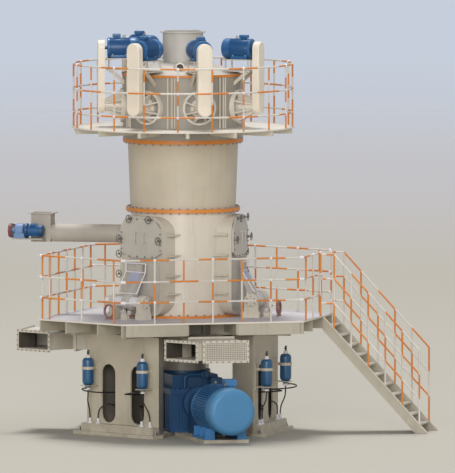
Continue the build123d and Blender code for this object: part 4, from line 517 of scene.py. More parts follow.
def panel(start, end, posts, margin_share, opening, high_first, first):
    """One railing panel: posts in thirds by turns orange-white-orange and white-orange-white, beginning with first,
    and rails whose orange pieces are centred on every other post. high_first puts them on the first post for the top
    and low rails. The white-orange-white posts have ball joints."""
    length = np.linalg.norm(end - start)
    stop = length - RAIL_END - opening
    margin = margin_share * length
    spots = margin + np.arange(posts) * (length - 2 * margin) / (posts - 1)
    pitch = (length - 2 * margin) / (posts - 1)
    spots = spots[spots < stop]
    for number, spot in enumerate(spots):
        foot, head = edge_line(start, end, spot, 0.0), edge_line(start, end, spot, LEVELS[-1])
        stripe(foot, head, LEVELS[:2] / LEVELS[2], (first + number) % 2)
    for row, level in enumerate(LEVELS):
        kind = 0 if (row != 1) == high_first else 1
        middles = spots[0] + pitch * (np.arange(-2, posts + 2) * 2 + kind)
        cuts = np.sort(np.concatenate([middles - pitch / 2, middles + pitch / 2]))
        inside = cuts[(cuts > RAIL_END) & (cuts < stop)]
        begun = ORANGE if np.any((middles - pitch / 2 <= RAIL_END) & (middles + pitch / 2 > RAIL_END)) else WHITE
        ends = edge_line(start, end, np.array((RAIL_END, stop)), np.array((level, level)))
        stripe(ends[0], ends[1], (inside - RAIL_END) / (stop - RAIL_END), begun)
        rail_joints.extend(ends)
        jointed = spots[1 if first == ORANGE else 0::2]
        rail_joints.extend(edge_line(start, end, jointed, np.full(len(jointed), level)))


corners = deck_corners()
PANELS = ((3, 0.12, 0.0, True, ORANGE), (5, 0.18, 0.0, True, WHITE), (4, 0.13, DECK_LONG - STAIR_START, True, ORANGE),
          (6, 0.094, 0.0, False, ORANGE), (3, 0.12, 0.0, True, ORANGE), (7, 0.045, 0.0, False, ORANGE))
for number, options in enumerate(PANELS):
    panel(corners[number], corners[(number + 1) % 6], *options)


def railing_pieces(prefix, cad_node):
    """The collected tubes, arcs and joints as one white, one orange and one joint piece."""
    for tone, label, slot in ((WHITE, "white", "railing"), (ORANGE, "orange", "orange")):
        lines = np.array(rail_pieces[tone])
        skin(f"{prefix}_{label}", run_grid(lines[:, 0], lines[:, 1], RAIL_RADIUS), f"rail_{label}", slot, cad_node)
        if rail_arcs[tone]:
            reach, level, begin, done = np.array(rail_arcs[tone]).T
            skin(f"{prefix}_arcs_{label}", arc_grid(reach[0], level, begin, done, RAIL_RADIUS), f"rail_{label}", slot,
                 cad_node)
        rail_pieces[tone].clear()
        rail_arcs[tone].clear()
    skin(f"{prefix}_joints", turned_grid(ball(JOINT_RADIUS), np.array(rail_joints), UP, 12), "joint",
         "white", cad_node)
    rail_joints.clear()


railing_pieces("lower_rail", "lower_railings")

UPPER_DECK_TOP = 5.594
UPPER_RAIL_REACH = 2.004
UPPER_LEVELS = np.array((0.264, 0.700, 1.147))
UPPER_POSTS = 20
FIRST_POST = 6.0
POST_TURN = 360.0 / UPPER_POSTS


def upper_railing():
    """Ring railing: posts in two kinds by turns, and rails whose orange arcs are centred on every other post."""
    for number in range(UPPER_POSTS):
        bearing = FIRST_POST + number * POST_TURN
        foot = place(bearing, 0.0, UPPER_RAIL_REACH, UPPER_DECK_TOP)
        head = place(bearing, 0.0, UPPER_RAIL_REACH, UPPER_DECK_TOP + UPPER_LEVELS[-1])
        if number % 2:
            stripe(foot, head, (0.43, 0.79), ORANGE)
        else:
            stripe(foot, head, (0.22, 0.42, 0.81), ORANGE)
            rail_joints.extend(place(bearing, 0.0, UPPER_RAIL_REACH, UPPER_DECK_TOP + UPPER_LEVELS))
        for row, level in enumerate(UPPER_LEVELS):
            tone = ORANGE if (number % 2 == 0) == (row != 1) else WHITE
            rail_arcs[tone].append((UPPER_RAIL_REACH, UPPER_DECK_TOP + level, bearing - POST_TURN / 2,
                                    bearing + POST_TURN / 2))


upper_railing()
railing_pieces("upper_rail", "upper_railing")

# Stair railing: one on each stringer, with a level start from the deck.

STAIR_ANGLE = 120
STAIR_ACROSS = (0.470, 1.210)
STAIR_LEVELS = np.array((0.450, 0.900, 1.345))
STAIR_SLOPE = DECK_TOP / 1.990
STAIR_POSTS, FIRST_STAIR_POST, STAIR_POST_PITCH, POST_SINK = 6, 0.210, 0.321, 0.012


def stair_railing(across, turn):
    """Posts stand on the stringer's sloping edge, level = deck top - slope * way out; each bay of the three rails is
    orange or white by turns, the middle one opposed to the others."""
    out = DECK_REACH + FIRST_STAIR_POST + STAIR_POST_PITCH * np.arange(STAIR_POSTS)
    edge = DECK_TOP - (out - DECK_REACH) * STAIR_SLOPE
    start = DECK_REACH - RAIL_INSET
    for number, (reach, foot) in enumerate(zip(out, edge)):
        ends = place(STAIR_ANGLE, across, reach, foot + np.array((-POST_SINK, STAIR_LEVELS[-1])))
        stripe(*ends, STAIR_LEVELS[:2] / STAIR_LEVELS[2], (ORANGE + number + turn) % 2)
    for row, height in enumerate(STAIR_LEVELS):
        first = edge[0] + height
        stripe(place(STAIR_ANGLE, across, start, first), place(STAIR_ANGLE, across, out[0], first), (0.4,),
               (WHITE + turn) % 2 if row != 1 else (ORANGE + turn) % 2)
        rail_joints.extend(place(STAIR_ANGLE, across, [start], first))
        for number in range(STAIR_POSTS - 1):
            tone = (number + turn + (row == 1)) % 2
            rail_pieces[tone].append((place(STAIR_ANGLE, across, out[number], edge[number] + height),
                                      place(STAIR_ANGLE, across, out[number + 1], edge[number + 1] + height)))
    stripe(place(STAIR_ANGLE, across, start, DECK_TOP), place(STAIR_ANGLE, across, start, edge[0] + STAIR_LEVELS[-1]),
           (0.33, 0.66), WHITE)


stair_railing(STAIR_ACROSS[0], 0)
stair_railing(STAIR_ACROSS[1], 1)
railing_pieces("stair_rail", "stair_railings")


def spots_at(angles, across, out, up):
    """The same station points at several angles, in one list."""
    return np.concatenate([np.atleast_2d(place(angle, across, out, up)) for angle in angles])


def facings(angles, count):
    """Outward directions of several stations, each repeated for its points."""
    return np.repeat([directions(angle)[1] for angle in angles], count, axis=0)


def bend(radius_in, radius_out, height, first, last, steps=7):
    """Profile of a rounded shoulder: radius_in + swing cos, height + swing sin, swing being the gap of the radii."""
    turn = np.radians(np.linspace(first, last, steps))
    swing = radius_out - radius_in
    return np.column_stack([radius_in + swing * np.cos(turn), height + swing * np.sin(turn)])


# Accumulator bottles

BOTTLE_ACROSS = np.array((-0.700, 0.700))
BOTTLE_OUT = PEDESTAL_FACE + 0.200
BOTTLE_FOOT = 0.900
bottle_feet = spots_at(ROLLERS, BOTTLE_ACROSS, BOTTLE_OUT, BOTTLE_FOOT)
bottle_profile = np.vstack([bend(0.035, 0.105, 0.070, -90, 0), bend(0.035, 0.105, 0.435, 0, 78, 9)])
turned("accumulator_bottles", bottle_profile, bottle_feet, UP, 32, "bottle", "bottle_blue", "accumulators")
turned("bottle_collars", ((0.044, 0.496), (0.044, 0.520), (0.036, 0.526), (0.036, 0.552), (0.030, 0.556)),
       bottle_feet, UP, 20, "white", "white", "accumulators")
turned("bottle_valves", ((0.017, 0.556), (0.017, 0.580), (0.025, 0.584), (0.025, 0.612), (0.015, 0.618),
       (0.015, 0.642), (0.011, 0.648)), bottle_feet, UP, 12, "dark", "dark", "accumulators")
lever_feet = spots_at(ROLLERS, BOTTLE_ACROSS + 0.012, BOTTLE_OUT, BOTTLE_FOOT + 0.600)
lever_tips = spots_at(ROLLERS, BOTTLE_ACROSS + 0.052, BOTTLE_OUT + 0.010, BOTTLE_FOOT + 0.640)
rods("bottle_valve_levers", lever_feet, lever_tips, 0.008, 8, "steel", "steel", "accumulators")
port_tops = spots_at(ROLLERS, BOTTLE_ACROSS, BOTTLE_OUT, 0.0)
turned("port_collars", ((0.052, 0.862), (0.056, 0.866), (0.056, 0.880), (0.052, 0.884)), port_tops, UP, 24, "bottle",
       "bottle_blue")
turned("port_nuts", ((0.044, 0.817), (0.048, 0.821), (0.048, 0.846), (0.043, 0.851)), port_tops, UP, 6, "white",
       "white", sharp=25.0)

# Clamp handwheels on the window rims

OUTER_SIDES = (-1, 1, -1)
STATIONS = tuple(zip(ROLLERS, OUTER_SIDES))
wheel_spots, wheel_axes = [], []
for angle, outer in STATIONS:
    across = np.array((-0.25, 0.25, -0.50, 0.50, outer * 0.595, outer * 0.595))
    level = np.array((3.935, 3.935, 3.560, 3.560, 3.278, 2.913))
    seat = np.array((1.094, 1.094, 1.094, 1.094, 1.000, 1.000))
    wheel_spots.append(place(angle, across, seat + 0.069, level))
    wheel_axes.append(np.repeat(directions(angle)[1][None], 6, axis=0))
wheel_spots, wheel_axes = np.concatenate(wheel_spots), np.concatenate(wheel_axes)
rim_turn = np.linspace(0.0, 2 * np.pi, 8, endpoint=False)
rim_profile = np.column_stack([0.068 + 0.0075 * np.cos(rim_turn), 0.0075 * np.sin(rim_turn)])
turned("handwheel_rims", rim_profile, wheel_spots, wheel_axes, 28, "wheel", "dark", "clamp_handwheels", ring=True)
_, wheel_first, wheel_second = across_axes(wheel_axes)
spoke_turn = np.radians((90, 210, 330))
spoke_ways = (wheel_first[:, None] * np.cos(spoke_turn)[None, :, None]
              + wheel_second[:, None] * np.sin(spoke_turn)[None, :, None])
spoke_starts = (wheel_spots[:, None] + 0.012 * spoke_ways).reshape(-1, 3)
spoke_ends = (wheel_spots[:, None] + 0.066 * spoke_ways).reshape(-1, 3)
rods("handwheel_spokes", spoke_starts, spoke_ends, 0.006, 8, "wheel", "dark", "clamp_handwheels")
turned("handwheel_hubs", ((0.014, -0.016), (0.018, -0.012), (0.018, 0.008), (0.014, 0.012)), wheel_spots, wheel_axes,
       14, "wheel", "dark", "clamp_handwheels")
turned("handwheel_stems", ((0.030, -0.068), (0.030, -0.052), (0.012, -0.048), (0.012, -0.014)), wheel_spots,
       wheel_axes, 12, "steel", "steel", "clamp_handwheels")

# Bolts

RING_BOLTS = 40
ring_bearings = (np.arange(RING_BOLTS) + 0.5) * 360.0 / RING_BOLTS
for name, reach, level, way in (
        ("middle_ring_bolts_low", 1.010, 4.059, -1.0), ("middle_ring_bolts_high", 1.010, 4.121, 1.0),
        ("upper_ring_bolts_low", 1.062, 5.315, -1.0), ("bottom_ring_bolts", 0.999, 2.175, 1.0)):
    bolts(name, round_axis(ring_bearings, reach, level), (0.0, 0.0, way), 0.036, 0.024)
anchor_spots = spots_at((-30, 30, 90, 150, -90, -150), 0.0, 1.960, 0.060)
bolts("anchor_nuts", anchor_spots, UP, 0.062, 0.048)
turned("anchor_studs", ((0.018, 0.046), (0.018, 0.086), (0.014, 0.092)), anchor_spots, UP, 12, "steel", "steel")

door_run = np.array((-0.29, -0.10, 0.10, 0.29))
door_across = np.concatenate([door_run, np.full(3, 0.497), door_run[::-1], np.full(3, -0.497)])
door_up = np.concatenate([np.full(4, 3.250), (3.380, 3.480, 3.680), np.full(4, 3.932), (3.680, 3.480, 3.380)])
bolts("door_bolts", spots_at(ROLLERS, door_across, 1.094, door_up), facings(ROLLERS, len(door_up)), 0.026, 0.018)

# Duct mouth bolts: along each flange, on the two mouths that face -Y.
border_x, border_z = border(np.linspace(-0.395, 0.395, 8), np.linspace(1.565, 1.755, 3), 0.4075, 1.4835, 1.8365)
mouth_spots = np.concatenate([np.column_stack([side * 1.9 + border_x, np.full(len(border_x), -1.980), border_z])
                              for side in (-1, 1)])
bolts("duct_mouth_bolts", mouth_spots, (0.0, -1.0, 0.0), 0.022, 0.014)
edge_x, edge_z = border(np.linspace(-0.400, 0.400, 8), np.linspace(1.560, 1.760, 3), 0.4175, 1.4725, 1.8475)
bolts("duct_end_bolts", spots_at((60, -60), edge_x, 2.950, edge_z), facings((60, -60), len(edge_x)), 0.022, 0.014)

# Gearbox joint bolts and the classifier wall pipes

case_spots = round_axis(np.arange(120, 361, 15), 0.640, 0.850)
bolts("gearbox_joint_bolts", case_spots, UP, 0.040, 0.030, "gearbox", "drive_blue")
side_out = np.linspace(0.52, 0.98, 5)
front_spots = np.vstack([place(60, np.linspace(-0.480, 0.480, 11), 1.035, 0.850), place(60, -0.503, side_out, 0.850),
                         place(60, 0.503, side_out, 0.850)])
bolts("bevel_joint_bolts", front_spots, UP, 0.036, 0.028, "gearbox", "drive_blue")

HEADS = tuple(60 + 360 / 7 * k for k in (0, 1, 3, 4, 5, 6))
pipe_angles = np.array([60 + 360 / 7 * (k + 0.5) + turn for k in range(7) for turn in (-4.0, 0.0, 2.6)])
pipe_feet = round_axis(pipe_angles, 1.116, 5.600)
pipe_tops = pipe_feet + np.array((0.0, 0.0, 0.93))
rods("wall_pipes", pipe_feet, pipe_tops, 0.018, 12, "frame", "cream")

# Sections carried along a station's outward direction, and outlines carried across it


def finned_grid(angles, across, level, start, end, core, tip, fins, thickness):
    """Barrel with straight fins about an outward axis: the radius is tip on a fin's crest and core at its root, four
    points to a fin, and the crests run down towards the core at both ends."""
    root, crest = thickness / core / 2, 0.3 * thickness / tip
    spin = (np.arange(fins)[:, None] * 2 * np.pi / fins + np.array((-root, -crest, crest, root))).ravel()
    rise = np.array((0.15, 1.0, 1.0, 0.15))[:, None] * np.tile((0.0, 1.0, 1.0, 0.0), fins)
    radius = core + (tip - core) * rise
    run_out = 0.05 * (end - start)
    outs = np.array((start, start + run_out, end - run_out, end))[:, None]
    return np.stack([place(angle, across + radius * np.cos(spin), outs, level + radius * np.sin(spin))
                     for angle in angles])


def box_grid(angles, across, level, start, end, half_width, half_height, corner, edge=0.004):
    """Block with rounded corners about an outward axis: corner centres plus corner radius times (cos, sin), carried
    from start to end with the section drawn in by edge at both ends."""
    turn = np.radians(np.concatenate([np.linspace(q, q + 90, 5) for q in (0, 90, 180, 270)]))
    side_x, side_z = np.repeat((1, -1, -1, 1), 5), np.repeat((1, 1, -1, -1), 5)
    swing = corner - np.array((edge, 0.0, 0.0, edge))[:, None]
    x = side_x * (half_width - corner) + swing * np.cos(turn)
    z = side_z * (half_height - corner) + swing * np.sin(turn)
    outs = np.array((start, start + edge, end - edge, end))[:, None]
    return np.stack([place(angle, across + x, outs, level + z) for angle in angles])


def outline_grid(angle, outline, across, half, edge=0.005):
    """An outline of (out, up) points, anticlockwise, carried across a station from across + half to across - half,
    drawn towards its middle by edge at both ends."""
    outline = np.asarray(outline, float)
    inward = outline.mean(axis=0) - outline
    inward /= np.linalg.norm(inward, axis=1, keepdims=True)
    rows = outline + np.array((edge, 0.0, 0.0, edge))[:, None, None] * inward
    stations = across + np.array((half, half - edge, edge - half, -half))[:, None]
    return place(angle, stations, rows[..., 0], rows[..., 1])


def hoop(radius, tube, steps=10):
    """Profile of a hoop about its axis: a small circle of the tube's radius at the hoop's radius."""
    turn = np.linspace(0.0, 2 * np.pi, steps, endpoint=False)
    return np.column_stack([radius + tube * np.cos(turn), tube * np.sin(turn)])


def across_ways(angles, signs):
    """Across directions of several stations, each with its sign."""
    return np.array([sign * directions(angle)[0] for angle, sign in zip(angles, signs)])


# Rocker stations: arms, leaning frames of bars, cover plates, shaft end caps, stop hoops

ROCKER_REACH, ROCKER_LEVEL = 1.390, 2.440
ARM_OUTLINE = ((1.390, 2.440), (1.500, 2.520), (1.395, 2.585), (1.146, 2.955), (1.146, 3.104), (1.106, 3.104),
               (1.112, 2.860), (1.190, 2.660), (1.262, 2.500))
PLATE_OUTLINE = ((1.250, 2.800), (1.262, 2.808), (1.166, 2.957), (1.152, 2.949))
arms = np.stack([outline_grid(angle, ARM_OUTLINE, 0.0, 0.070, 0.008) for angle in ROLLERS])
skin("rocker_arm_levers", arms, "arm", "cream", "rocker_arms", sharp=25.0)
plates = np.stack([outline_grid(angle, PLATE_OUTLINE, outer * 0.060, 0.130, 0.003)
                   for angle, outer in STATIONS])
skin("rocker_arm_plates", plates, "lilac", "white", "rocker_arms", sharp=25.0)
hub_centres = np.array([place(angle, 0.0, ROCKER_REACH, ROCKER_LEVEL) for angle in ROLLERS])
hub_axes = across_ways(ROLLERS, (1, 1, 1))
hub_profile = ((0.098, -0.075), (0.142, -0.075), (0.150, -0.067), (0.150, 0.067), (0.142, 0.075), (0.098, 0.075))
turned("rocker_arm_hubs", hub_profile, hub_centres, hub_axes, 40, "arm", "cream", "rocker_arms", ring=True,
       sharp=25.0)
bar_starts, bar_ends, bar_knots = [], [], []
for angle, outer in STATIONS:
    sides = np.array((outer * 0.320, -outer * 0.180))
    foot = place(angle, sides, ROCKER_REACH, 2.594)
    knee = place(angle, sides, 1.162, 2.969)
    head = place(angle, sides, 1.150, 3.128)
    bar_starts += [*foot, *knee, foot[0], knee[0], head[0]]
    bar_ends += [*knee, *head, foot[1], knee[1], head[1]]
    bar_knots += [*foot, *knee, *head]
rods("rocker_frame_bars", np.array(bar_starts), np.array(bar_ends), 0.0125, 10, "white", "white", "rocker_arms")
turned("rocker_frame_knots", ball(0.0135), np.array(bar_knots), UP, 10, "white", "white", "rocker_arms")

short_ends = [-outer for outer in OUTER_SIDES]
cap_spots = np.array([place(angle, -outer * 0.409, ROCKER_REACH, ROCKER_LEVEL) for angle, outer in STATIONS])
cap_axes = across_ways(ROLLERS, short_ends)
cap_profile = ((0.112, 0.0), (0.112, 0.024), (0.104, 0.031), (0.058, 0.031), (0.052, 0.038), (0.010, 0.038))
turned("rocker_end_caps", cap_profile, cap_spots, cap_axes, 36, "frame", "cream", sharp=25.0)
cap_turn = np.radians(np.arange(6) * 60 + 30)
_, cap_first, cap_second = across_axes(cap_axes)
cap_bolts = (cap_spots[:, None] + 0.031 * cap_axes[:, None] + 0.082 * (cap_first[:, None] * np.cos(cap_turn)[:, None]
             + cap_second[:, None] * np.sin(cap_turn)[:, None])).reshape(-1, 3)
bolts("rocker_cap_bolts", cap_bolts, np.repeat(cap_axes, 6, axis=0), 0.020, 0.012)

RING_REACH, RING_LEVEL, RING_ACROSS = 1.775, 2.284, 0.141
ring_spots = np.concatenate([place(angle, outer * RING_ACROSS, np.array((RING_REACH - 0.013, RING_REACH + 0.013)),
                                   RING_LEVEL) for angle, outer in STATIONS])
turned("stop_hoops", hoop(0.114, 0.0135), ring_spots, facings(ROLLERS, 2), 44, "red", "red", "stop_rings", ring=True)
hoop_feet = np.concatenate([box_grid((angle,), outer * RING_ACROSS, 2.146, RING_REACH - 0.026, RING_REACH + 0.026,
                                     0.074, 0.016, 0.006) for angle, outer in STATIONS])
skin("stop_hoop_feet", hoop_feet, "red", "red", "stop_rings", sharp=25.0)
lug_low, lug_high = (
    np.concatenate([place(angle, outer * RING_ACROSS + np.array((-half, half)), RING_REACH, level)
                    for angle, outer in STATIONS]) for half, level in ((0.058, 2.150), (0.098, 2.226)))
rods("stop_hoop_lugs", lug_low, lug_high, 0.016, 10, "red", "red", "stop_rings")

# Motors

HEAD_LEVEL = 7.035
head_axes = facings(HEADS, 1)
head_mid = spots_at(HEADS, 0.0, 0.0, HEAD_LEVEL)
skin("classifier_motor_frames", finned_grid(HEADS, 0.0, HEAD_LEVEL, 0.955, 1.360, 0.171, 0.186, 52, 0.010), "drive",
     "drive_blue", "classifier_motors")
head_fan = np.vstack([((0.050, 0.817),), bend(0.128, 0.188, 0.875, -88, 0, 7),
                      ((0.188, 0.962), (0.181, 0.968), (0.181, 0.985))])
turned("classifier_motor_fans", head_fan, head_mid, head_axes, 48, "drive", "drive_blue", "classifier_motors",
       sharp=30.0)
head_shield = ((0.180, 1.345), (0.187, 1.350), (0.187, 1.372), (0.176, 1.384), (0.070, 1.386), (0.032, 1.390),
               (0.032, 1.436))
turned("classifier_motor_shields", head_shield, head_mid, head_axes, 48, "drive", "drive_blue", "classifier_motors",
       sharp=30.0)
head_feet = np.concatenate([box_grid(HEADS, side * 0.108, 6.877, 1.010, 1.325, 0.042, 0.030, 0.008)
                            for side in (-1, 1)])
skin("classifier_motor_feet", head_feet, "drive", "drive_blue", "classifier_motors", sharp=25.0)
head_boxes = np.concatenate([box_grid(HEADS, 0.0, 7.259, 1.142, 1.288, 0.066, 0.030, 0.012),
                             box_grid(HEADS, 0.0, 7.222, 1.165, 1.265, 0.046, 0.022, 0.010)])
skin("classifier_motor_boxes", head_boxes, "drive", "drive_blue", "classifier_motors", sharp=25.0)
eye_spots = spots_at(HEADS, 0.0, 1.075, 7.244)
eye_axes = across_ways(HEADS, (1,) * len(HEADS))
turned("classifier_motor_eyes", hoop(0.021, 0.0065), eye_spots, eye_axes, 20, "steel", "steel", ring=True)
nut_across = np.array((-0.122, 0.122))
foot_nuts = np.concatenate([spots_at(HEADS, nut_across, out, 6.907) for out in (1.045, 1.290)])
turned("classifier_motor_nuts", ((0.020, 0.0), (0.020, 0.016), (0.011, 0.018), (0.011, 0.050), (0.008, 0.054)),
       foot_nuts, UP, 6, "bright", "cream", sharp=20.0)

MOTOR_LEVEL = 0.595
motor_mid = place(60, 0.0, 0.0, MOTOR_LEVEL)[None]
motor_axis = facings((60,), 1)
skin("main_motor_frame", finned_grid((60,), 0.0, MOTOR_LEVEL, 2.045, 3.035, 0.380, 0.430, 60, 0.017), "motor",
     "motor_blue", "main_motor")
shield_profile = ((0.060, 1.930), (0.060, 1.975), (0.140, 1.980), (0.150, 1.990), (0.330, 1.996), (0.398, 2.010),
                  (0.404, 2.020), (0.404, 2.060), (0.380, 2.064))
turned("main_motor_shield", shield_profile, motor_mid, motor_axis, 64, "motor", "motor_blue", "main_motor",
       sharp=30.0)
back_shield = ((0.370, 3.015), (0.404, 3.020), (0.404, 3.060), (0.418, 3.066), (0.418, 3.096), (0.400, 3.100))
turned("main_motor_back_shield", back_shield, motor_mid, motor_axis, 64, "motor", "motor_blue", "main_motor",
       sharp=30.0)
foot_blocks = [(0.3075, 0.0825, 2.110, 2.960, 0.0975, 0.0225, 0.010),
               (0.240, 0.2425, 2.125, 2.945, 0.030, 0.1825, 0.012)]
foot_blocks += [(0.315, 0.175, out, out + 0.030, 0.070, 0.090, 0.006) for out in (2.140, 2.520, 2.900)]
motor_feet = np.concatenate([box_grid((60,), side * across, *sizes)
                             for across, *sizes in foot_blocks for side in (-1, 1)])
skin("main_motor_feet", motor_feet, "motor", "motor_blue", "main_motor", sharp=25.0)
motor_box = np.concatenate([box_grid((60,), 0.160, 1.075, 2.490, 2.710, 0.110, 0.062, 0.018, 0.008),
                            box_grid((60,), 0.160, 0.960, 2.520, 2.680, 0.080, 0.070, 0.012, 0.006)])
skin("main_motor_box", motor_box, "motor", "motor_blue", "main_motor", sharp=25.0)
box_bolts = place(60, 0.160 + np.array((-0.088, 0.088, -0.088, 0.088)), np.array((2.512, 2.512, 2.688, 2.688)), 1.136)
bolts("main_motor_box_bolts", box_bolts, UP, 0.016, 0.003)
motor_eyes = place(60, 0.0, np.array((2.230, 2.850)), 1.050)
turned("main_motor_eyes", hoop(0.034, 0.011), motor_eyes, across_ways((60, 60), (1, 1)), 24, "steel", "steel",
       ring=True)

# Screw feeder's geared motor and chain guard

DRIVE_ACROSS, DRIVE_LEVEL = 0.300, 3.650
drive_mid = place(-60, DRIVE_ACROSS, 0.0, DRIVE_LEVEL)[None]
drive_axis = facings((-60,), 1)
skin("feed_motor_frame", finned_grid((-60,), DRIVE_ACROSS, DRIVE_LEVEL, 2.632, 2.862, 0.093, 0.104, 36, 0.008),
     "drive", "drive_blue", "feed_drive")
feed_fan = np.vstack([((0.030, 2.562),), bend(0.072, 0.106, 2.594, -86, 0, 6),
                      ((0.106, 2.640), (0.101, 2.646), (0.101, 2.660))])
turned("feed_motor_fan", feed_fan, drive_mid, drive_axis, 36, "gearbox", "drive_blue", "feed_drive", sharp=30.0)
feed_flange = ((0.094, 2.850), (0.132, 2.856), (0.134, 2.862), (0.134, 2.892), (0.118, 2.900), (0.110, 2.925),
               (0.110, 2.960))
turned("feed_motor_flange", feed_flange, drive_mid, drive_axis, 40, "gearbox", "drive_blue", "feed_drive", sharp=30.0)
case_dome = np.vstack([((0.090, 2.926), (0.124, 2.932), (0.130, 2.940), (0.130, 3.020)),
                       bend(0.085, 0.130, 3.050, 0, 80, 7),
                       ((0.060, 3.104), (0.040, 3.108), (0.040, 3.152))])
turned("feed_gear_case", case_dome, drive_mid, drive_axis, 40, "gear_case", "drive_blue", "feed_drive", sharp=30.0)
case_foot = np.concatenate([box_grid((-60,), DRIVE_ACROSS, 3.560, 2.905, 3.095, 0.112, 0.046, 0.014, 0.006),
                            box_grid((-60,), DRIVE_ACROSS, 3.523, 2.885, 3.128, 0.114, 0.010, 0.005)])
skin("feed_gear_foot", case_foot, "gear_case", "drive_blue", "feed_drive", sharp=25.0)
skin("feed_motor_box", box_grid((-60,), DRIVE_ACROSS + 0.020, 3.762, 2.700, 2.800, 0.050, 0.022, 0.010), "drive",
     "drive_blue", "feed_drive", sharp=25.0)


def belt_outline(radius):
    """Outline of two equal circles joined by straight flanks, as (across, up) about the two shafts."""
    lean = math.atan2(0.047, 0.300)
    near = np.linspace(lean + math.pi / 2, lean + 3 * math.pi / 2, 20)
    away = np.linspace(lean - math.pi / 2, lean + math.pi / 2, 20)
    x = np.concatenate([0.300 + radius * np.cos(away), radius * np.cos(near)])
    z = np.concatenate([3.650 + radius * np.sin(away), 3.603 + radius * np.sin(near)])
    return x, z


def belt_grid(rows):
    """The belt outline carried along the feeder's outward direction, each row giving way out and radius."""
    outlines = [belt_outline(radius) for _, radius in rows]
    return np.stack([place(-60, x, out, z) for (out, _), (x, z) in zip(rows, outlines)])[None]


skin("chain_guard_hoop",
     belt_grid(((3.164, 0.104), (3.153, 0.107), (3.152, 0.125), (3.156, 0.129), (3.203, 0.129), (3.209, 0.124))),
     "hoop", "red", "chain_guard", sharp=30.0)
skin("chain_guard_panel", belt_grid(((3.160, 0.101), (3.166, 0.102))), "tube", "cream", "chain_guard", sharp=30.0)

# Dark sheets inside the two open duct mouths, painted shade of their deep insides

loop_x = np.array((0.386, 0.386, -0.386, -0.386))
loop_z = np.array((-0.154, 0.154, 0.154, -0.154))
lining = []
for side in (-1, 1):
    rows = [(1.0, -1.972), (0.975, -1.972), (0.975, -1.560), (1.0, -1.560)]
    lining.append(np.stack([np.column_stack([side * 1.9 + share * loop_x, np.full(4, y), 1.660 + share * loop_z])
                            for share, y in rows]))
skin("duct_mouth_painted_shade", np.stack(lining), "soot", "dark", ring=True, sharp=25.0)

# Dark brown sheets inside the pedestals behind their slots, a dark disc low in the outlet bore, and the stub on the
# lid with a dark disc in its mouth: the sheets and the discs are painted shade

wall_x = np.array(((0.852, 0.546, -0.546, -0.852), (0.842, 0.540, -0.540, -0.842)))
wall_out = np.array(((1.522, 1.116, 1.116, 1.522), (1.522, 1.124, 1.124, 1.522)))
section_x = np.stack([wall_x[0], wall_x[0], wall_x[1], wall_x[1]], axis=1)
section_out = np.stack([wall_out[0], wall_out[0], wall_out[1], wall_out[1]], axis=1)
section_up = np.broadcast_to((0.204, 1.796, 1.796, 0.204), (4, 4))
# Painted shade: brown sheets set in the pedestals so the hollow behind the slots reads dark.
skin("pedestal_shade_sheets", np.stack([place(angle, section_x, section_out, section_up) for angle in ROLLERS]), "painted_shade_brown",
     "dark", sharp=25.0, turn_out=True)
# Painted shade: a dark disc low in the outlet bore for the shade down the pipe.
throat = ((0.300, 6.581), (0.357, 6.581), (0.357, 6.592), (0.340, 6.594), (0.120, 6.590), (0.010, 6.594))
turned("outlet_bore_shade_disc", throat, np.zeros((1, 3)), UP, 40, "soot", "dark", turn_out=True)

stub_mid = place(41, 0.0, 0.0, 6.712)[None]
stub_axis = facings((41,), 1)
stub_profile = ((0.061, 0.640), (0.074, 0.640), (0.074, 0.818), (0.088, 0.822), (0.088, 0.840), (0.084, 0.844),
                (0.064, 0.844), (0.061, 0.840))
turned("lid_stub", stub_profile, stub_mid, stub_axis, 36, "bright", "cream", ring=True, sharp=25.0)
# Painted shade: a dark disc in the stub for the shade in its mouth.
turned("lid_stub_shade_disc", ((0.062, 0.700), (0.062, 0.760), (0.006, 0.762)), stub_mid, stub_axis, 24, "soot", "dark",
       sharp=25.0)

# Perforated screens in the two straight duct ends


def perforated_plate(angle, front, thickness, width, bottom, top, columns, rows, radius):
    """Plate of square cells with a round hole each: every cell runs from eight points on its border to eight on the
    hole's circle, through to the back and out again, and a strip round the border closes the plate."""
    turn = np.arange(8) * np.pi / 4
    circle = np.column_stack([np.cos(turn), np.sin(turn)])
    border = circle / np.abs(circle).max(axis=1, keepdims=True)
    step = np.array((width / columns, (top - bottom) / rows))
    column, row = np.meshgrid(np.arange(columns), np.arange(rows))
    middle = (np.column_stack([column.ravel(), row.ravel()]) + 0.5) * step + np.array((-width / 2, bottom))
    edge, hole = middle[:, None] + border * step / 2, middle[:, None] + circle * radius
    flat = np.stack([edge, hole, hole, edge], axis=1)
    depth = np.array((front, front, front - thickness, front - thickness))[None, :, None]
    points = place(angle, flat[..., 0], depth, flat[..., 1])
    index = np.arange(points.size // 3).reshape(points.shape[:3])
    beside = np.roll(index, -1, axis=2)
    faces = np.stack([index[:, :-1], beside[:, :-1], beside[:, 1:], index[:, 1:]], axis=-1).reshape(-1, 4)
    x, z = np.linspace(-width / 2, width / 2, 2 * columns + 1), np.linspace(bottom, top, 2 * rows + 1)
    rim_x = np.concatenate([x[:-1], np.full(2 * rows, x[-1]), x[:0:-1], np.full(2 * rows, x[0])])
    rim_z = np.concatenate([np.full(2 * columns, z[0]), z[:-1], np.full(2 * columns, z[-1]), z[:0:-1]])
    rim = np.stack([place(angle, rim_x, out, rim_z) for out in (front, front - thickness)])
    rim_index = np.arange(rim.size // 3).reshape(2, -1) + points.size // 3
    rim_beside = np.roll(rim_index, -1, axis=1)
    strip = np.stack([rim_index[0], rim_beside[0], rim_beside[1], rim_index[1]], axis=-1)
    return np.concatenate([points.reshape(-1, 3), rim.reshape(-1, 3)]), np.concatenate([faces, strip]).tolist()


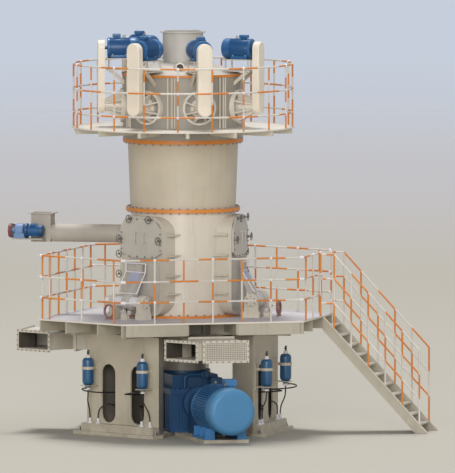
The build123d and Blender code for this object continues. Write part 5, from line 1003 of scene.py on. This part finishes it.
for angle, label in ((60, "right"), (-60, "left")):
    screen_points, screen_faces = perforated_plate(angle, 2.942, 0.008, 0.800, 1.490, 1.830, 24, 10, 0.0100)
    add_piece(f"duct_screen_{label}", screen_points, screen_faces, "screen", "duct_screens", weld=True)
# Painted shade: dark plates behind the screens so their holes read dark.
skin("screen_back_shade", box_grid((60, -60), 0.0, 1.660, 2.880, 2.890, 0.395, 0.165, 0.006, 0.002), "soot", "dark",
     sharp=25.0)

# Flanged edges of the stair stringers, the oil pump by the bevel housing, and the swing pumps on the deck

stringer_out = np.array((2.545, 4.485))
stringer_low = np.array((2.545, 4.250))


def sloping_strip(outs, below):
    """Strip 14 mm deep along the stair's slope, below its upper edge line, as an anticlockwise (out, up) outline."""
    line = DECK_TOP - (outs - DECK_REACH) * STAIR_SLOPE - below
    return ((outs[0], line[0] - 0.014), (outs[1], line[1] - 0.014), (outs[1], line[1]), (outs[0], line[0]))


strips = np.stack([outline_grid(STAIR_ANGLE, sloping_strip(outs, below), across, 0.016, 0.002)
                   for across in (0.436, 1.244) for outs, below in ((stringer_out, 0.002), (stringer_low, 0.244))])
skin("stringer_flanges", strips, "frame", "cream", sharp=25.0)

pump_profile = ((0.046, 0.880), (0.062, 0.890), (0.062, 0.940), (0.074, 0.945), (0.074, 0.962), (0.066, 0.968),
                (0.032, 0.970), (0.026, 0.990), (0.008, 0.992))
turned("oil_pump", pump_profile, place(60, 0.152, 0.0, 1.100)[None], facings((60,), 1), 32, "gearbox", "drive_blue",
       sharp=30.0)

pump_across = [-outer * 0.150 for outer in OUTER_SIDES]
pump_boxes = np.concatenate([np.concatenate([box_grid((angle,), a, 2.137, 1.560, 1.712, 0.112, 0.007, 0.004, 0.002),
                                             box_grid((angle,), a - 0.02, 2.190, 1.580, 1.690, 0.062, 0.050, 0.014)])
                             for angle, a in zip(ROLLERS, pump_across)])
skin("swing_pump_bodies", pump_boxes, "frame", "cream", sharp=25.0)
barrel_spots = np.array([place(angle, a, 1.635, 2.262) for angle, a in zip(ROLLERS, pump_across)])
barrel_profile = ((0.020, -0.112), (0.040, -0.106), (0.044, -0.098), (0.044, -0.060), (0.036, -0.054), (0.036, 0.060),
                  (0.044, 0.066), (0.044, 0.098), (0.026, 0.106))
turned("swing_pump_barrels", barrel_profile, barrel_spots, hub_axes, 28, "arm", "cream", sharp=30.0)
lever_base = np.array([place(angle, a + 0.050, 1.660, 2.250) for angle, a in zip(ROLLERS, pump_across)])
lever_end = np.array([place(angle, a + 0.085, 1.705, 2.345) for angle, a in zip(ROLLERS, pump_across)])
rods("swing_pump_levers", lever_base, lever_end, 0.011, 10, "dark", "dark")

# Floor and light


def floor_and_light():
    """A round floor whose colour goes over into the backdrop's far away, a soft sky that is brighter overhead, a wide
    key from the front and a rim from behind."""
    spin = np.linspace(0.0, 2 * np.pi, 96, endpoint=False)
    rings = np.array((0.0001, 3.0, 8.0, 20.0, 60.0, 150.0))
    points = np.stack([rings[:, None] * np.cos(spin), rings[:, None] * np.sin(spin), np.zeros((6, 96))], axis=-1)
    index = np.arange(6 * 96).reshape(6, 96)
    beside = np.roll(index, -1, axis=1)
    quads = np.stack([index[:-1], index[1:], beside[1:], beside[:-1]], axis=-1).reshape(-1, 4)
    mesh = bpy.data.meshes.new("floor")
    mesh.from_pydata(points.reshape(-1, 3).tolist(), [], quads.tolist())
    floor = bpy.data.objects.new("floor", mesh)
    scene.collection.objects.link(floor)
    made = bpy.data.materials.new("floor_screed")
    made.use_nodes = True
    tree = made.node_tree
    shader = tree.nodes["Principled BSDF"]
    spot = node(tree, "ShaderNodeTexCoord").outputs["Object"]
    far = node(tree, "ShaderNodeVectorMath", {0: spot}, operation="LENGTH").outputs["Value"]
    tone = blend(tree, ease(tree, far, 8.0, 45.0), linear(186, 182, 171), linear(177, 173, 162))
    tree.links.new(blend(tree, ease(tree, far, 36.0, 75.0), tone, linear(179, 177, 179)), shader.inputs["Base Color"])
    shader.inputs["Roughness"].default_value = 0.8
    shader.inputs["Specular IOR Level"].default_value = 0.1
    clear = node(tree, "ShaderNodeBsdfTransparent")
    fade = node(tree, "ShaderNodeMixShader", {0: ease(tree, far, 62.0, 128.0), 1: shader.outputs[0],
                                              2: clear.outputs[0]})
    tree.links.new(fade.outputs[0], tree.nodes["Material Output"].inputs["Surface"])
    mesh.materials.append(made)

    world = bpy.data.worlds.new("studio")
    scene.world = world
    world.use_nodes = True
    tree = world.node_tree
    back = tree.nodes["Background"]
    lift = split(tree, node(tree, "ShaderNodeTexCoord").outputs["Generated"])[2]
    sky = blend(tree, ease(tree, lift, -0.1, 1.0), linear(170, 170, 172), linear(250, 251, 255))
    tree.links.new(sky, back.inputs["Color"])
    back.inputs["Strength"].default_value = 0.34
    shown = node(tree, "ShaderNodeBackground", {"Color": linear(198, 206, 219), "Strength": 1.0})
    path = node(tree, "ShaderNodeLightPath")
    seen = maths(tree, "MAXIMUM", path.outputs["Is Camera Ray"],
                 maths(tree, "MAXIMUM", path.outputs["Is Glossy Ray"], path.outputs["Is Transmission Ray"]))
    choice = node(tree, "ShaderNodeMixShader", {0: seen, 1: back.outputs[0], 2: shown.outputs[0]})
    tree.links.new(choice.outputs[0], tree.nodes["World Output"].inputs["Surface"])

    for label, turn, lift, strength, spread, colour in (
            ("key_sun", 38.0, 14.0, 1.72, 34.0, (1.0, 0.985, 0.96)),
            ("side_sun", 120.0, 35.0, 0.35, 60.0, (0.96, 0.98, 1.0)),
            ("rim_sun", 228.0, 72.0, 2.35, 16.0, (1.0, 0.99, 0.97))):
        lamp = bpy.data.lights.new(label, "SUN")
        lamp.energy = strength
        lamp.angle = math.radians(spread)
        lamp.color = colour
        holder = bpy.data.objects.new(label, lamp)
        turn, lift = math.radians(turn), math.radians(lift)
        aim = Vector((math.sin(turn) * math.cos(lift), -math.cos(turn) * math.cos(lift), math.sin(lift)))
        holder.rotation_euler = aim.to_track_quat("Z", "Y").to_euler()
        scene.collection.objects.link(holder)


floor_and_light()

NODE_FINISHES = {
    "base": ("base_frame", "pedestal_1", "pedestal_2", "pedestal_3", "accumulator_brackets"),
    "shell": ("mill_shell",),
    "outlet": ("outlet_pipe", "lid"),
    "wall": ("classifier_housing", "blank_port", "gas_ring", "table_hub"),
    "window": ("window_frames",),
    "tube": ("feed_tube", "feed_box", "feed_base"),
    "frame": ("duct_necks", "inlet_duct_left", "inlet_duct_right", "rocker_bearings", "motor_slides",
              "drive_brackets", "upper_deck_arms"),
    "beam": ("deck_beams", "deck_fascia", "stair_stringers"),
    "bright": ("bearing_cones", "upper_deck"),
    "cone": ("cone_shell",),
    "door": ("inspection_doors", "window_panels", "stair_treads"),
    "guard": ("belt_guards",),
    "orange": ("flange_rings",),
    "deck": ("lower_deck",),
    "white": ("rocker_shafts", "hose_fittings"),
    "fan": ("motor_fan_cover",),
    "gearbox": ("gearbox_case", "gearbox_cover", "oil_pipe", "coupling_guard"),
    "dark": ("hose_sockets",),
}
for finish_name, names in NODE_FINISHES.items():
    for name in names:
        mesh = nodes[name].data
        mesh.materials.clear()
        mesh.materials.append(finish[finish_name])

scene.view_settings.view_transform = "Standard"
bpy.context.view_layer.update()
